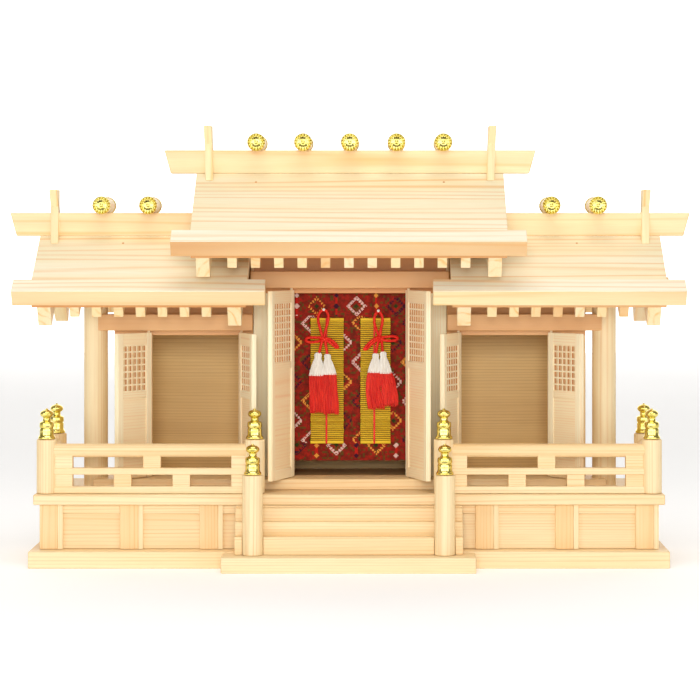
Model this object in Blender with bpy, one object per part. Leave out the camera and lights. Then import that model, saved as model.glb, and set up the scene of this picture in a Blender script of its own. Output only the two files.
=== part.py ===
"""Three-bay household shrine: a raised centre bay between two side bays, on a railed podium.

Metres, +Z up, the front faces -Y. The origin is under the middle of the whole shrine, at the
bottom of its base board. Depths are measured ahead of, or behind, the front face of the walls.
"""
import math

import bmesh
import bpy
from mathutils import Matrix

MM = 0.001

# Gap between pieces that rest on, or are let into, each other
SEAT = 0.3 * MM
# How far two solids of the same piece run into each other before they are joined
LAP = 1.0 * MM

# Base boards and podium
BASE_HALF = 274.3 * MM
BASE_TOP = 14.6 * MM
BASE_AHEAD = 73.2 * MM
BASE_BEHIND = 92.6 * MM
STAIR_BASE_HALF = 107.6 * MM
STAIR_BASE_TOP = 13.4 * MM
STAIR_BASE_AHEAD = 106.7 * MM
PODIUM_TOP = 53.4 * MM
PODIUM_AHEAD = 58.2 * MM
PODIUM_BEHIND = 84.0 * MM
PODIUM_POST = 20.0 * MM
PODIUM_POST_CENTRES = (118.6 * MM, 187.2 * MM, 256.2 * MM)
PODIUM_RAIL_TALL = 8.0 * MM
PODIUM_RAIL_BACK = 1.5 * MM
PODIUM_PANEL_BACK = 3.5 * MM
PODIUM_PANEL_THICK = 4.0 * MM

# Deck and steps
DECK_HALF = 271.0 * MM
DECK_THICK = 9.0 * MM
DECK_AHEAD = 64.4 * MM
DECK_BEHIND = 88.0 * MM
STEP_HALF = 97.0 * MM
# Tops of the steps as shares of the rise from the stair base to the podium's top
STEP_SHARES = (0.9575, 0.68, 0.385)
STEP_AHEAD = (73.2 * MM, 81.1 * MM, 89.1 * MM)
STEP_UNDER_DECK = 58.6 * MM
# How far the podium's front panels run in behind the steps
PODIUM_BEHIND_STEPS = 6.0 * MM

# Railings, newels and their turned caps
NEWEL_RADIUS = 8.7 * MM
NEWEL_X = 81.5 * MM
CORNER_X = 260.6 * MM
RAIL_AHEAD = 53.2 * MM
REAR_POST_BEHIND = 15.9 * MM
FRONT_NEWEL_AHEAD = 88.2 * MM
POST_TALL = 46.6 * MM
FRONT_NEWEL_TALL = 67.9 * MM
RAIL_DEEP = 10.0 * MM
BOTTOM_RAIL = (0.0 * MM, 6.4 * MM)
MIDDLE_RAIL = (16.5 * MM, 22.1 * MM)
TOP_RAIL_RADIUS = 5.85 * MM
TOP_RAIL_UP = 37.1 * MM
RAIL_BLOCK = 15.0 * MM
RAIL_BLOCK_DEEP = 8.0 * MM
FINIAL_TALL = 26.4 * MM

# Floor board, columns and beams of the three bays
SILL_THICK = 9.4 * MM
SILL_AHEAD = 24.7 * MM
COLUMN_X = 224.0 * MM
COLUMN_RADIUS = 10.5 * MM
SIDE_BEAM_UP = 129.2 * MM
SIDE_BEAM_TALL = 14.4 * MM
CENTRE_BEAM_UP = 166.5 * MM
CENTRE_BEAM_TALL = 14.9 * MM

# Walls
FRONT_WALL_THICK = 7.0 * MM
WALL_THICK = 5.0 * MM
OUTER_WALL_X = 207.7 * MM
CENTRE_WALL_X = 85.2 * MM
BACK_WALL_BEHIND = 84.0 * MM
SIDE_OPENING = (97.5 * MM, 174.5 * MM)
SIDE_OPENING_UNDER_BEAM = 4.4 * MM
CENTRE_OPENING = 49.2 * MM
CENTRE_OPENING_UNDER_BEAM = 4.7 * MM

# Door leaves: pivots, rest angles as the doors stand, and the joinery of a leaf
LEAF_THICK = 4.4 * MM
PIVOT_AHEAD = 4.5 * MM
PIVOT_INSET = 2.0 * MM
LEAF_GAP = 0.3 * MM
LEAF_BOTTOM_GAP = 0.7 * MM
LEAF_TOP_GAP = 1.8 * MM
SIDE_PIVOTS = (177.2 * MM, 95.4 * MM)
CENTRE_PIVOT = 51.6 * MM
PIN_RADIUS = 1.2 * MM
PIN_HOLE_RADIUS = 1.6 * MM
PIN_DEEP = 2.6 * MM
STILE = 6.8 * MM
LEAF_TOP_RAIL = 10.6 * MM
LEAF_MIDDLE_RAIL = 6.0 * MM
LEAF_BOTTOM_RAIL = 9.0 * MM
LATTICE_PITCH = 5.76 * MM
LATTICE_BAR = 1.4 * MM
LATTICE_THICK = 2.6 * MM
LEAF_PANEL_THICK = 2.4 * MM
SIDE_LATTICE = (5, 7)
CENTRE_LATTICE = (7, 9)
OPEN_LEFT_OUTER = math.radians(128.5)
OPEN_LEFT_INNER = math.radians(108.5)
OPEN_CENTRE_LEFT = math.radians(109.0)
OPEN_CENTRE_RIGHT = math.radians(109.0)
OPEN_RIGHT_INNER = math.radians(112.0)
OPEN_RIGHT_OUTER = math.radians(127.0)

# Roofs. The ridge line of all three lies this far behind the wall fronts
RIDGE_BEHIND = 9.7 * MM
RIDGE_HALF_THICK = 7.0 * MM
BOARD_THICK = 12.5 * MM
EAVE_BAR_THICK = 15.0 * MM
EAVE_BAR_PROUD = 1.0 * MM
EAVE_BAR_WIDE = 18.0 * MM
SOFFIT_THICK = 2.5 * MM
SOFFIT_BACK = 0.5 * MM
RAFTER_WIDE = 8.0 * MM
RAFTER_TALL = 10.3 * MM
RAFTER_BACK = 1.0 * MM
BARGE_WIDE = 11.6 * MM
BARGE_TALL = 19.5 * MM
ROOF_HALF_GAP = 0.15 * MM

MAIN_SLOPE = math.radians(32.5)
MAIN_FOOT_OVER_BEAM = 101.0 * MM
MAIN_EAVE_AHEAD = 92.6 * MM
MAIN_BOARD_HALF = 135.5 * MM
MAIN_BAR_HALF = 151.3 * MM
MAIN_RAFTER_PITCH = 19.9 * MM
MAIN_RAFTERS = 11
MAIN_BARGE_X = 124.6 * MM

SIDE_ROOF_X = 180.7 * MM
SIDE_SLOPE = math.radians(33.3)
SIDE_FOOT_OVER_BEAM = 83.0 * MM
SIDE_EAVE_AHEAD = 70.6 * MM
SIDE_BOARD_HALF = 93.0 * MM
SIDE_BAR_HALF = 108.6 * MM
SIDE_RAFTER_PITCH = 18.9 * MM
SIDE_RAFTERS = 7
SIDE_RAFTER_SHIFT = -1.1 * MM
SIDE_BARGE_X = 81.8 * MM

# Ridge bars, the logs across them and the crossed blades
RIDGE_TALL = 20.5 * MM
MAIN_RIDGE_HALF = 158.3 * MM
SIDE_RIDGE_OUTER = 294.4 * MM
SIDE_RIDGE_INNER = 131.0 * MM
RIDGE_LEAN = 5.7 * MM
LOG_RADIUS = 7.1 * MM
LOG_HALF = 28.0 * MM
LOG_SUNK = 0.6 * MM
MAIN_LOG_PITCH = 41.0 * MM
MAIN_LOGS = 5
SIDE_LOG_SHARES = (0.28, 0.53)
LOG_CAP_RADIUS = 7.9 * MM
LOG_CAP_LONG = 4.0 * MM
LOG_CAP_DISH = 1.6 * MM
LOG_CAP_FLUTES = 12
BLADE_THICK = 6.8 * MM
BLADE_WIDE = 9.0 * MM
BLADE_LEAN = math.radians(2.5)
BLADE_STEEP = math.radians(68.0)
BLADE_CROSS_UP = 26.1 * MM
MAIN_BLADE_INSET = 34.3 * MM
MAIN_BLADE_UP = 42.2 * MM
SIDE_BLADE_SHARE = 0.79
SIDE_BLADE_UP = 41.0 * MM

# Hangings of the centre bay
CURTAIN_HALF = 52.0 * MM
CURTAIN_THICK = 2.0 * MM
CURTAIN_OVER_SILL = 13.7 * MM
CURTAIN_OVER_OPENING = 6.4 * MM
BLIND_THICK = 1.6 * MM
BLIND_OVER_CURTAIN = 15.0 * MM
BLIND_DOWN = 22.0 * MM
BLIND_LEFT = (-35.0 * MM, -5.6 * MM)
BLIND_RIGHT = (9.0 * MM, 35.8 * MM)
TASSEL_THICK = 5.4 * MM
TASSEL_LEFT_X = -23.6 * MM
TASSEL_RIGHT_X = 26.4 * MM
# Heights on a tassel, down from the top of the centre opening
TASSEL_PIN_DOWN = 14.6 * MM
TASSEL_KNOT_DOWN = 41.6 * MM
TASSEL_HEAD_DOWN = 52.6 * MM
TASSEL_BOTTOM_DOWN = 105.6 * MM
TASSEL_CORD_HALF = 2.2 * MM
TASSEL_KNOT_HALF = 9.0 * MM
TASSEL_HEAD_HALF = 11.6 * MM
TASSEL_FRINGE_HALF = 13.6 * MM

# Facets of the round pieces
POST_SIDES = 24
CAP_SIDES = 16
FINIAL_SIDES = 14
PIN_SIDES = 10

# Depths and heights that follow from the sizes above
MAIN_EAVE_BEHIND = MAIN_EAVE_AHEAD + 2 * RIDGE_BEHIND
WALL_Y = (STAIR_BASE_AHEAD - MAIN_EAVE_BEHIND) / 2
RIDGE_Y = WALL_Y + RIDGE_BEHIND
DECK_TOP = PODIUM_TOP + DECK_THICK
BAR_UNDER = EAVE_BAR_PROUD - EAVE_BAR_THICK
SOFFIT_UNDER = BAR_UNDER - SOFFIT_THICK
SILL_TOP = DECK_TOP + SILL_THICK
PIVOT_Y = WALL_Y - PIVOT_AHEAD
STEP_TOPS = [STAIR_BASE_TOP + share * (PODIUM_TOP - STAIR_BASE_TOP) for share in STEP_SHARES]
POST_TOP = DECK_TOP + POST_TALL
FRONT_NEWEL_TOP = STAIR_BASE_TOP + FRONT_NEWEL_TALL
SIDE_BEAM = (SILL_TOP + SIDE_BEAM_UP, SILL_TOP + SIDE_BEAM_UP + SIDE_BEAM_TALL)
CENTRE_BEAM = (SILL_TOP + CENTRE_BEAM_UP, SILL_TOP + CENTRE_BEAM_UP + CENTRE_BEAM_TALL)
SIDE_OPENING_TOP = SIDE_BEAM[0] - SIDE_OPENING_UNDER_BEAM
CENTRE_OPENING_TOP = CENTRE_BEAM[0] - CENTRE_OPENING_UNDER_BEAM
MAIN_FOOT = CENTRE_BEAM[0] + MAIN_FOOT_OVER_BEAM
SIDE_FOOT = SIDE_BEAM[0] + SIDE_FOOT_OVER_BEAM
MAIN_BLADE_TOP = MAIN_FOOT + MAIN_BLADE_UP
SIDE_BLADE_TOP = SIDE_FOOT + SIDE_BLADE_UP
CURTAIN_BOTTOM = SILL_TOP + CURTAIN_OVER_SILL
CURTAIN_TOP = CENTRE_OPENING_TOP + CURTAIN_OVER_OPENING
BLIND_BOTTOM = CURTAIN_BOTTOM + BLIND_OVER_CURTAIN
BLIND_TOP = CENTRE_OPENING_TOP - BLIND_DOWN


def ahead(distance):
    """Y of a plane this far in front of the walls."""
    return WALL_Y - distance


def behind(distance):
    """Y of a plane this far behind the front of the walls."""
    return WALL_Y + distance


def clear_scene():
    for item in list(bpy.data.objects):
        bpy.data.objects.remove(item, do_unlink=True)


def make_material(name, colour, roughness, metallic=0.0):
    material = bpy.data.materials.new(name)
    material.use_nodes = True
    shader = material.node_tree.nodes["Principled BSDF"]
    shader.inputs["Base Color"].default_value = (*colour, 1.0)
    shader.inputs["Roughness"].default_value = roughness
    shader.inputs["Metallic"].default_value = metallic
    material.diffuse_color = (*colour, 1.0)
    return material


# Solids, each a bmesh that is closed and faces outward


def prism(outline, axis, low, high):
    """Extrude a flat outline along an axis.

    The outline's points are (y, z) along X, (x, z) along Y and (x, y) along Z.
    """
    place = {
        "X": lambda a, b, c: (c, a, b),
        "Y": lambda a, b, c: (a, c, b),
        "Z": lambda a, b, c: (a, b, c),
    }[axis]
    solid = bmesh.new()
    bottom = [solid.verts.new(place(a, b, low)) for a, b in outline]
    base = solid.faces.new(bottom)
    swept = bmesh.ops.extrude_face_region(solid, geom=[base])
    moved = [item for item in swept["geom"] if isinstance(item, bmesh.types.BMVert)]
    bmesh.ops.translate(solid, verts=moved, vec=place(0.0, 0.0, high - low))
    bmesh.ops.recalc_face_normals(solid, faces=solid.faces)
    return solid


def block(x, y, z):
    """A box between pairs of X, Y and Z, given in either order."""
    (left, right), (front, back) = sorted(x), sorted(y)
    outline = [(left, front), (right, front), (right, back), (left, back)]
    return prism(outline, "Z", min(z), max(z))


def rod(start, end, radius, sides):
    """A round bar between two points, along X, Y or Z."""
    steps = [b - a for a, b in zip(start, end)]
    length = sum(abs(step) for step in steps)
    middle = Matrix.Translation([(a + b) / 2 for a, b in zip(start, end)])
    if abs(steps[0]) > 0:
        turn = Matrix.Rotation(math.pi / 2, 4, "Y")
    elif abs(steps[1]) > 0:
        turn = Matrix.Rotation(math.pi / 2, 4, "X")
    else:
        turn = Matrix.Identity(4)
    solid = bmesh.new()
    bmesh.ops.create_cone(solid, cap_ends=True, segments=sides, radius1=radius, radius2=radius,
                          depth=length, matrix=middle @ turn)
    return solid


def turned(profile, centre, sides):
    """Turn a profile of (radius, height) points about a vertical axis at the centre.

    The profile runs upward and its two ends lie on the axis.
    """
    x, y, z = centre
    solid = bmesh.new()
    low = solid.verts.new((x, y, z + profile[0][1]))
    high = solid.verts.new((x, y, z + profile[-1][1]))
    rings = []
    for radius, height in profile[1:-1]:
        ring = []
        for step in range(sides):
            angle = 2 * math.pi * step / sides
            ring.append(solid.verts.new((x + radius * math.cos(angle),
                                         y + radius * math.sin(angle), z + height)))
        rings.append(ring)
    for step in range(sides):
        after = (step + 1) % sides
        solid.faces.new((low, rings[0][after], rings[0][step]))
        solid.faces.new((high, rings[-1][step], rings[-1][after]))
        for lower, upper in zip(rings, rings[1:]):
            solid.faces.new((lower[step], lower[after], upper[after], upper[step]))
    bmesh.ops.recalc_face_normals(solid, faces=solid.faces)
    return solid


# Objects


def add_object(name, solid, material, round_edges=None):
    """Put one solid into the scene; round_edges is the angle past which an edge stays sharp."""
    mesh = bpy.data.meshes.new(name)
    solid.to_mesh(mesh)
    solid.free()
    mesh.materials.append(material)
    if round_edges is not None:
        mesh.shade_smooth()
        mesh.set_sharp_from_angle(angle=math.radians(round_edges))
    item = bpy.data.objects.new(name, mesh)
    bpy.context.scene.collection.objects.link(item)
    return item


def shape(name, solids, material, cutters=(), round_edges=None):
    """Join overlapping solids into one body, then take the cutters out of it."""
    item = add_object(name, solids[0], material)
    tools = []
    for operation, group in (("UNION", solids[1:]), ("DIFFERENCE", cutters)):
        for solid in group:
            tool = add_object(f"{name}_tool", solid, material)
            change = item.modifiers.new(operation.title(), "BOOLEAN")
            change.operation = operation
            change.solver = "EXACT"
            change.object = tool
            tools.append(tool)
    settled = item.evaluated_get(bpy.context.evaluated_depsgraph_get())
    mesh = bpy.data.meshes.new_from_object(settled)
    item.modifiers.clear()
    item.data = mesh
    for tool in tools:
        bpy.data.objects.remove(tool, do_unlink=True)
    if round_edges is not None:
        mesh.shade_smooth()
        mesh.set_sharp_from_angle(angle=math.radians(round_edges))
    return item


# Base, podium, deck and steps


def make_base(wood):
    add_object("base_board", block((-BASE_HALF, BASE_HALF), (ahead(BASE_AHEAD), behind(BASE_BEHIND)),
                                   (0.0, BASE_TOP)), wood)
    add_object("stair_base", block((-STAIR_BASE_HALF, STAIR_BASE_HALF),
                                   (ahead(STAIR_BASE_AHEAD), ahead(BASE_AHEAD + SEAT)),
                                   (0.0, STAIR_BASE_TOP)), wood)


def podium_run(start, end, face, inward, axis, post_centres, low, high):
    """Posts, a rail under the deck and a sunk panel, along X or along Y.

    face is the plane of the post fronts, and inward points from it into the podium.
    """
    def piece(along, front, deep, z):
        across = (face + inward * front, face + inward * (front + deep))
        return block(along, across, z) if axis == "X" else block(across, along, z)

    panel_deep = PODIUM_PANEL_THICK
    rail_deep = PODIUM_PANEL_BACK + PODIUM_PANEL_THICK - PODIUM_RAIL_BACK + LAP
    pieces = [piece((start, end), PODIUM_PANEL_BACK, panel_deep, (low, high - LAP)),
              piece((start, end), PODIUM_RAIL_BACK, rail_deep, (high - PODIUM_RAIL_TALL, high))]
    for centre in post_centres:
        span = (centre - PODIUM_POST / 2, centre + PODIUM_POST / 2)
        pieces.append(piece(span, 0.0, PODIUM_POST, (low, high)))
    return pieces


def make_podium(wood):
    low = BASE_TOP + SEAT
    high = PODIUM_TOP - SEAT
    front = ahead(PODIUM_AHEAD)
    back = behind(PODIUM_BEHIND)
    outer = PODIUM_POST_CENTRES[-1] + PODIUM_POST / 2
    for side, word in ((-1, "left"), (1, "right")):
        centres = [side * centre for centre in PODIUM_POST_CENTRES]
        inner = side * (STEP_HALF - PODIUM_BEHIND_STEPS)
        run = podium_run(inner, centres[-1], front, 1, "X", centres, low, high)
        shape(f"podium_front_{word}", run, wood)

    start = front + PODIUM_POST + SEAT
    end = back - PODIUM_POST / 2
    middle = (start + end) / 2
    pieces = []
    for side in (-1, 1):
        pieces += podium_run(start, end, side * outer, -side, "Y", (middle, end), low, high)
    centres = [side * centre for side in (-1, 1) for centre in PODIUM_POST_CENTRES]
    corner = PODIUM_POST_CENTRES[-1]
    pieces += podium_run(-corner, corner, back, -1, "X", centres, low, high)
    shape("podium_back", pieces, wood)


def make_deck(wood):
    add_object("deck", block((-DECK_HALF, DECK_HALF), (ahead(DECK_AHEAD), behind(DECK_BEHIND)),
                             (PODIUM_TOP, DECK_TOP)), wood)


def make_steps(wood):
    """A stepped block under the deck's edge, let in round the front newels."""
    foot = STAIR_BASE_TOP + SEAT
    joint = BASE_AHEAD + SEAT / 2
    outline = [(STEP_UNDER_DECK, BASE_TOP + SEAT), (joint, BASE_TOP + SEAT), (joint, foot),
               (STEP_AHEAD[-1], foot)]
    for number in reversed(range(len(STEP_TOPS))):
        outline.append((STEP_AHEAD[number], STEP_TOPS[number]))
        inner = STEP_AHEAD[number - 1] if number else STEP_UNDER_DECK
        outline.append((inner, STEP_TOPS[number]))
    steps = prism([(ahead(depth), z) for depth, z in outline], "X", -STEP_HALF, STEP_HALF)
    notches = [rod((side * NEWEL_X, ahead(FRONT_NEWEL_AHEAD), 0.0),
                   (side * NEWEL_X, ahead(FRONT_NEWEL_AHEAD), PODIUM_TOP),
                   NEWEL_RADIUS + SEAT, POST_SIDES) for side in (-1, 1)]
    shape("steps", [steps], wood, cutters=notches, round_edges=30)


# Railings


def post(x, y, low, high, radius=NEWEL_RADIUS):
    return rod((x, y, low), (x, y, high), radius, POST_SIDES)


def railing(start, end, fixed, axis, upper_blocks, lower_blocks):
    """Three rails with short blocks between them, along X or along Y at the fixed place."""
    foot = DECK_TOP + SEAT

    def bar(along, deep, z):
        across = (fixed - deep / 2, fixed + deep / 2)
        return block(along, across, z) if axis == "X" else block(across, along, z)

    middle = (DECK_TOP + MIDDLE_RAIL[0], DECK_TOP + MIDDLE_RAIL[1])
    top = DECK_TOP + TOP_RAIL_UP
    ends = [(start, fixed, top), (end, fixed, top)]
    if axis == "Y":
        ends = [(fixed, start, top), (fixed, end, top)]
    pieces = [bar((start, end), RAIL_DEEP, (foot, DECK_TOP + BOTTOM_RAIL[1])),
              bar((start, end), RAIL_DEEP, middle),
              rod(ends[0], ends[1], TOP_RAIL_RADIUS, CAP_SIDES)]
    rows = ((upper_blocks, middle[1] - LAP, top - TOP_RAIL_RADIUS / 2),
            (lower_blocks, DECK_TOP + BOTTOM_RAIL[1] - LAP, middle[0] + LAP))
    for centres, low, high in rows:
        for centre in centres:
            span = (centre - RAIL_BLOCK / 2, centre + RAIL_BLOCK / 2)
            pieces.append(bar(span, RAIL_BLOCK_DEEP, (low, high)))
    return pieces


def spread(first, last, count):
    return [first + (last - first) * step / (count - 1) for step in range(count)]


def make_railings(wood):
    """On each side, a front run between two posts and a return run to the rear post."""
    foot = DECK_TOP + SEAT
    front = ahead(RAIL_AHEAD)
    rear = behind(REAR_POST_BEHIND)
    for side, word in ((-1, "left"), (1, "right")):
        corner = side * CORNER_X
        newel = side * NEWEL_X
        near_corner = side * (CORNER_X - NEWEL_RADIUS - RAIL_BLOCK / 2 + LAP)
        near_newel = side * (NEWEL_X + NEWEL_RADIUS + RAIL_BLOCK / 4)
        pieces = [post(corner, front, foot, POST_TOP), post(newel, front, foot, POST_TOP),
                  post(corner, rear, foot, POST_TOP)]
        pieces += railing(min(corner, newel), max(corner, newel), front, "X",
                          spread(near_corner, near_newel, 3), spread(near_corner, near_newel, 4))
        inset = NEWEL_RADIUS + RAIL_BLOCK / 4
        returns = [front + inset, rear - inset]
        pieces += railing(front, rear, corner, "Y", returns, returns)
        shape(f"railing_{word}", pieces, wood, round_edges=30)


def make_front_newels(wood):
    for side, word in ((-1, "left"), (1, "right")):
        newel = post(side * NEWEL_X, ahead(FRONT_NEWEL_AHEAD), STAIR_BASE_TOP + SEAT, FRONT_NEWEL_TOP)
        add_object(f"front_newel_{word}", newel, wood, round_edges=30)


def finial_profile():
    """Onion cap on a waisted collar, as (radius, height) from its foot to its tip."""
    points = [(0.0, 0.0), (6.9, 0.0), (7.5, 0.7), (7.3, 1.9), (6.3, 2.6), (6.2, 7.4), (7.1, 8.2),
              (7.2, 9.2), (5.2, 10.3), (3.2, 11.6), (2.9, 12.6), (3.6, 13.5), (5.0, 15.0),
              (5.6, 17.0), (5.3, 19.2), (4.0, 21.6), (2.0, 23.6), (0.8, 25.0), (0.0, 26.4)]
    share = FINIAL_TALL / points[-1][1]
    return [(radius * share, height * share) for radius, height in points]


def make_finials(brass):
    places = []
    for side, word in ((-1, "left"), (1, "right")):
        places += [(f"finial_front_{word}", side * NEWEL_X, ahead(FRONT_NEWEL_AHEAD), FRONT_NEWEL_TOP),
                   (f"finial_newel_{word}", side * NEWEL_X, ahead(RAIL_AHEAD), POST_TOP),
                   (f"finial_corner_{word}", side * CORNER_X, ahead(RAIL_AHEAD), POST_TOP),
                   (f"finial_rear_{word}", side * CORNER_X, behind(REAR_POST_BEHIND), POST_TOP)]
    for name, x, y, z in places:
        finial = turned(finial_profile(), (x, y, z + SEAT), FINIAL_SIDES)
        add_object(name, finial, brass, round_edges=50)


# Floor, columns and beams


def pin_hole(x, low, high):
    return rod((x, PIVOT_Y, low), (x, PIVOT_Y, high), PIN_HOLE_RADIUS, PIN_SIDES)


def column_notch(side, low, high):
    return rod((side * COLUMN_X, WALL_Y, low - LAP), (side * COLUMN_X, WALL_Y, high + LAP),
               COLUMN_RADIUS + SEAT, POST_SIDES)


def make_sill(wood):
    """Floor board of the three bays, notched round the columns, with sockets for the doors."""
    board = block((-COLUMN_X, COLUMN_X), (ahead(SILL_AHEAD), behind(PODIUM_BEHIND)),
                  (DECK_TOP + SEAT, SILL_TOP))
    cutters = [column_notch(side, DECK_TOP, SILL_TOP) for side in (-1, 1)]
    depth = SILL_TOP - PIN_DEEP - 2 * SEAT
    for x in (*SIDE_PIVOTS, CENTRE_PIVOT):
        cutters += [pin_hole(side * x, depth, SILL_TOP + LAP) for side in (-1, 1)]
    shape("sill", [board], wood, cutters=cutters, round_edges=30)


def make_columns(wood):
    """Round columns at the outer ends, up to the side rafters."""
    meets = WALL_Y - COLUMN_RADIUS
    top = roof_under(SIDE_ROOF, abs(RIDGE_Y - meets), RAFTER_TALL) - SEAT
    for side, word in ((-1, "left"), (1, "right")):
        column = post(side * COLUMN_X, WALL_Y, DECK_TOP + SEAT, top, COLUMN_RADIUS)
        add_object(f"column_{word}", column, wood, round_edges=30)


def make_beams(wood):
    front = ahead(COLUMN_RADIUS)
    back = ahead(SEAT)
    for side, word in ((-1, "left"), (1, "right")):
        low, high = SIDE_BEAM
        beam = block((side * COLUMN_X, side * (CENTRE_WALL_X + SEAT)), (front, back), SIDE_BEAM)
        cutters = [column_notch(side, low, high)]
        cutters += [pin_hole(side * x, low - LAP, low + PIN_DEEP + 2 * SEAT) for x in SIDE_PIVOTS]
        shape(f"side_beam_{word}", [beam], wood, cutters=cutters, round_edges=30)
    low, high = CENTRE_BEAM
    beam = block((-CENTRE_WALL_X, CENTRE_WALL_X), (front, back), CENTRE_BEAM)
    cutters = [pin_hole(side * CENTRE_PIVOT, low - LAP, low + PIN_DEEP + 2 * SEAT) for side in (-1, 1)]
    shape("centre_beam", [beam], wood, cutters=cutters, round_edges=30)


# Roofs


class Roof:
    """Sizes of one roof; the top of its boards passes the foot of the ridge bar's faces."""

    def __init__(self, slope, foot, eave_ahead, board_half, bar_half, rafters, pitch, barge,
                 shift=0.0):
        self.slope = slope
        self.foot = foot
        self.reach = eave_ahead + RIDGE_BEHIND
        self.board_half = board_half
        self.bar_half = bar_half
        self.rafters = [shift + (step - (rafters - 1) / 2) * pitch for step in range(rafters)]
        self.barges = [-barge, barge]

    def plane(self, out, lift):
        """Height of a plane parallel to the slope, at a distance out from the ridge line."""
        drop = (out - RIDGE_HALF_THICK) * math.tan(self.slope)
        return self.foot - drop + lift / math.cos(self.slope)

    def eave(self, along, lift):
        """A point (out, z) counted up the slope from the eave's square-cut face."""
        edge_z = self.plane(self.reach, EAVE_BAR_PROUD)
        sunk = lift - EAVE_BAR_PROUD
        out = self.reach - along * math.cos(self.slope) + sunk * math.sin(self.slope)
        return out, edge_z + along * math.sin(self.slope) + sunk * math.cos(self.slope)

    def band(self, along, top, bottom):
        """Outline of a layer that runs from the eave to the ridge line."""
        gap = ROOF_HALF_GAP
        return [self.eave(along, top), (gap, self.plane(gap, top)),
                (gap, self.plane(gap, bottom)), self.eave(along, bottom)]


MAIN_ROOF = Roof(MAIN_SLOPE, MAIN_FOOT, MAIN_EAVE_AHEAD, MAIN_BOARD_HALF, MAIN_BAR_HALF,
                 MAIN_RAFTERS, MAIN_RAFTER_PITCH, MAIN_BARGE_X)
SIDE_ROOF = Roof(SIDE_SLOPE, SIDE_FOOT, SIDE_EAVE_AHEAD, SIDE_BOARD_HALF, SIDE_BAR_HALF,
                 SIDE_RAFTERS, SIDE_RAFTER_PITCH, SIDE_BARGE_X, SIDE_RAFTER_SHIFT)


def roof_under(roof, out, hang=0.0):
    """Height of the underside of the soffit, or of what hangs this far under it."""
    return roof.plane(out, SOFFIT_UNDER - hang)


def roof_slope(name, roof, centre, facing, material):
    """Boards, thick eave bar, soffit, rafters and barges of one slope; facing is -1 in front.

    The rear eave bars of the side bays stop at the walls of the centre bay.
    """
    def run(outline, middle, half):
        placed = [(RIDGE_Y + facing * out, z) for out, z in outline]
        return prism(placed, "X", centre + middle - half, centre + middle + half)

    gap = ROOF_HALF_GAP
    join = EAVE_BAR_WIDE - LAP
    boards = [(gap, roof.foot), (RIDGE_HALF_THICK, roof.foot), roof.eave(join, 0.0),
              roof.eave(join, -BOARD_THICK), (gap, roof.plane(gap, -BOARD_THICK))]
    bar = [roof.eave(0.0, EAVE_BAR_PROUD), roof.eave(EAVE_BAR_WIDE, EAVE_BAR_PROUD),
           roof.eave(EAVE_BAR_WIDE, BAR_UNDER), roof.eave(0.0, BAR_UNDER)]
    soffit = roof.band(SOFFIT_BACK, -BOARD_THICK + LAP, SOFFIT_UNDER)
    rafter = roof.band(RAFTER_BACK, SOFFIT_UNDER + LAP, SOFFIT_UNDER - RAFTER_TALL)
    barge = roof.band(RAFTER_BACK, SOFFIT_UNDER + LAP, SOFFIT_UNDER - BARGE_TALL)
    pieces = [run(boards, 0.0, roof.board_half), run(bar, 0.0, roof.bar_half),
              run(soffit, 0.0, roof.board_half - LAP)]
    hand = -1 if centre < 0 else 1
    pieces += [run(rafter, hand * x, RAFTER_WIDE / 2) for x in roof.rafters]
    pieces += [run(barge, x, BARGE_WIDE / 2) for x in roof.barges]
    cutters = []
    if centre and facing > 0:
        keep_off = CENTRE_WALL_X + SEAT
        cutters.append(block((-keep_off, keep_off), (RIDGE_Y, RIDGE_Y + 2 * roof.reach),
                             (0.0, roof.foot)))
    shape(name, pieces, material, cutters=cutters)


def make_roofs(material):
    bays = (("left", SIDE_ROOF, -SIDE_ROOF_X), ("centre", MAIN_ROOF, 0.0),
            ("right", SIDE_ROOF, SIDE_ROOF_X))
    for word, roof, centre in bays:
        roof_slope(f"roof_{word}_front", roof, centre, -1, material)
        roof_slope(f"roof_{word}_back", roof, centre, 1, material)


# Ridges


def log_cap_outline():
    """Fluted rim of a log's cap as (radius, angle) round the circle."""
    outline = []
    for step in range(2 * LOG_CAP_FLUTES):
        radius = LOG_CAP_RADIUS if step % 2 else LOG_CAP_RADIUS * 0.93
        outline.append((radius, math.pi * step / LOG_CAP_FLUTES))
    return outline


def log_cap(x, z, end):
    """A fluted, dished cap on one end of a log; end is -1 on the front end."""
    cap = bmesh.new()
    rings = []
    for depth, share in ((LOG_CAP_LONG, 1.0), (0.8 * MM, 1.0), (0.0, 0.86), (LOG_CAP_DISH, 0.42)):
        rings.append([cap.verts.new((x + radius * share * math.cos(angle),
                                     RIDGE_Y + end * (LOG_HALF - depth),
                                     z + radius * share * math.sin(angle)))
                      for radius, angle in log_cap_outline()])
    count = len(rings[0])
    for outer, inner in zip(rings, rings[1:]):
        for step in range(count):
            after = (step + 1) % count
            cap.faces.new((outer[step], outer[after], inner[after], inner[step]))
    cap.faces.new(rings[0])
    cap.faces.new(rings[-1])
    bmesh.ops.recalc_face_normals(cap, faces=cap.faces)
    return cap


def log(x, z):
    """A round log across the ridge, capped at both ends."""
    inner = LOG_HALF - LAP
    body = rod((x, RIDGE_Y - inner, z), (x, RIDGE_Y + inner, z), LOG_RADIUS, CAP_SIDES)
    return [body, log_cap(x, z, -1), log_cap(x, z, 1)]


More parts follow.
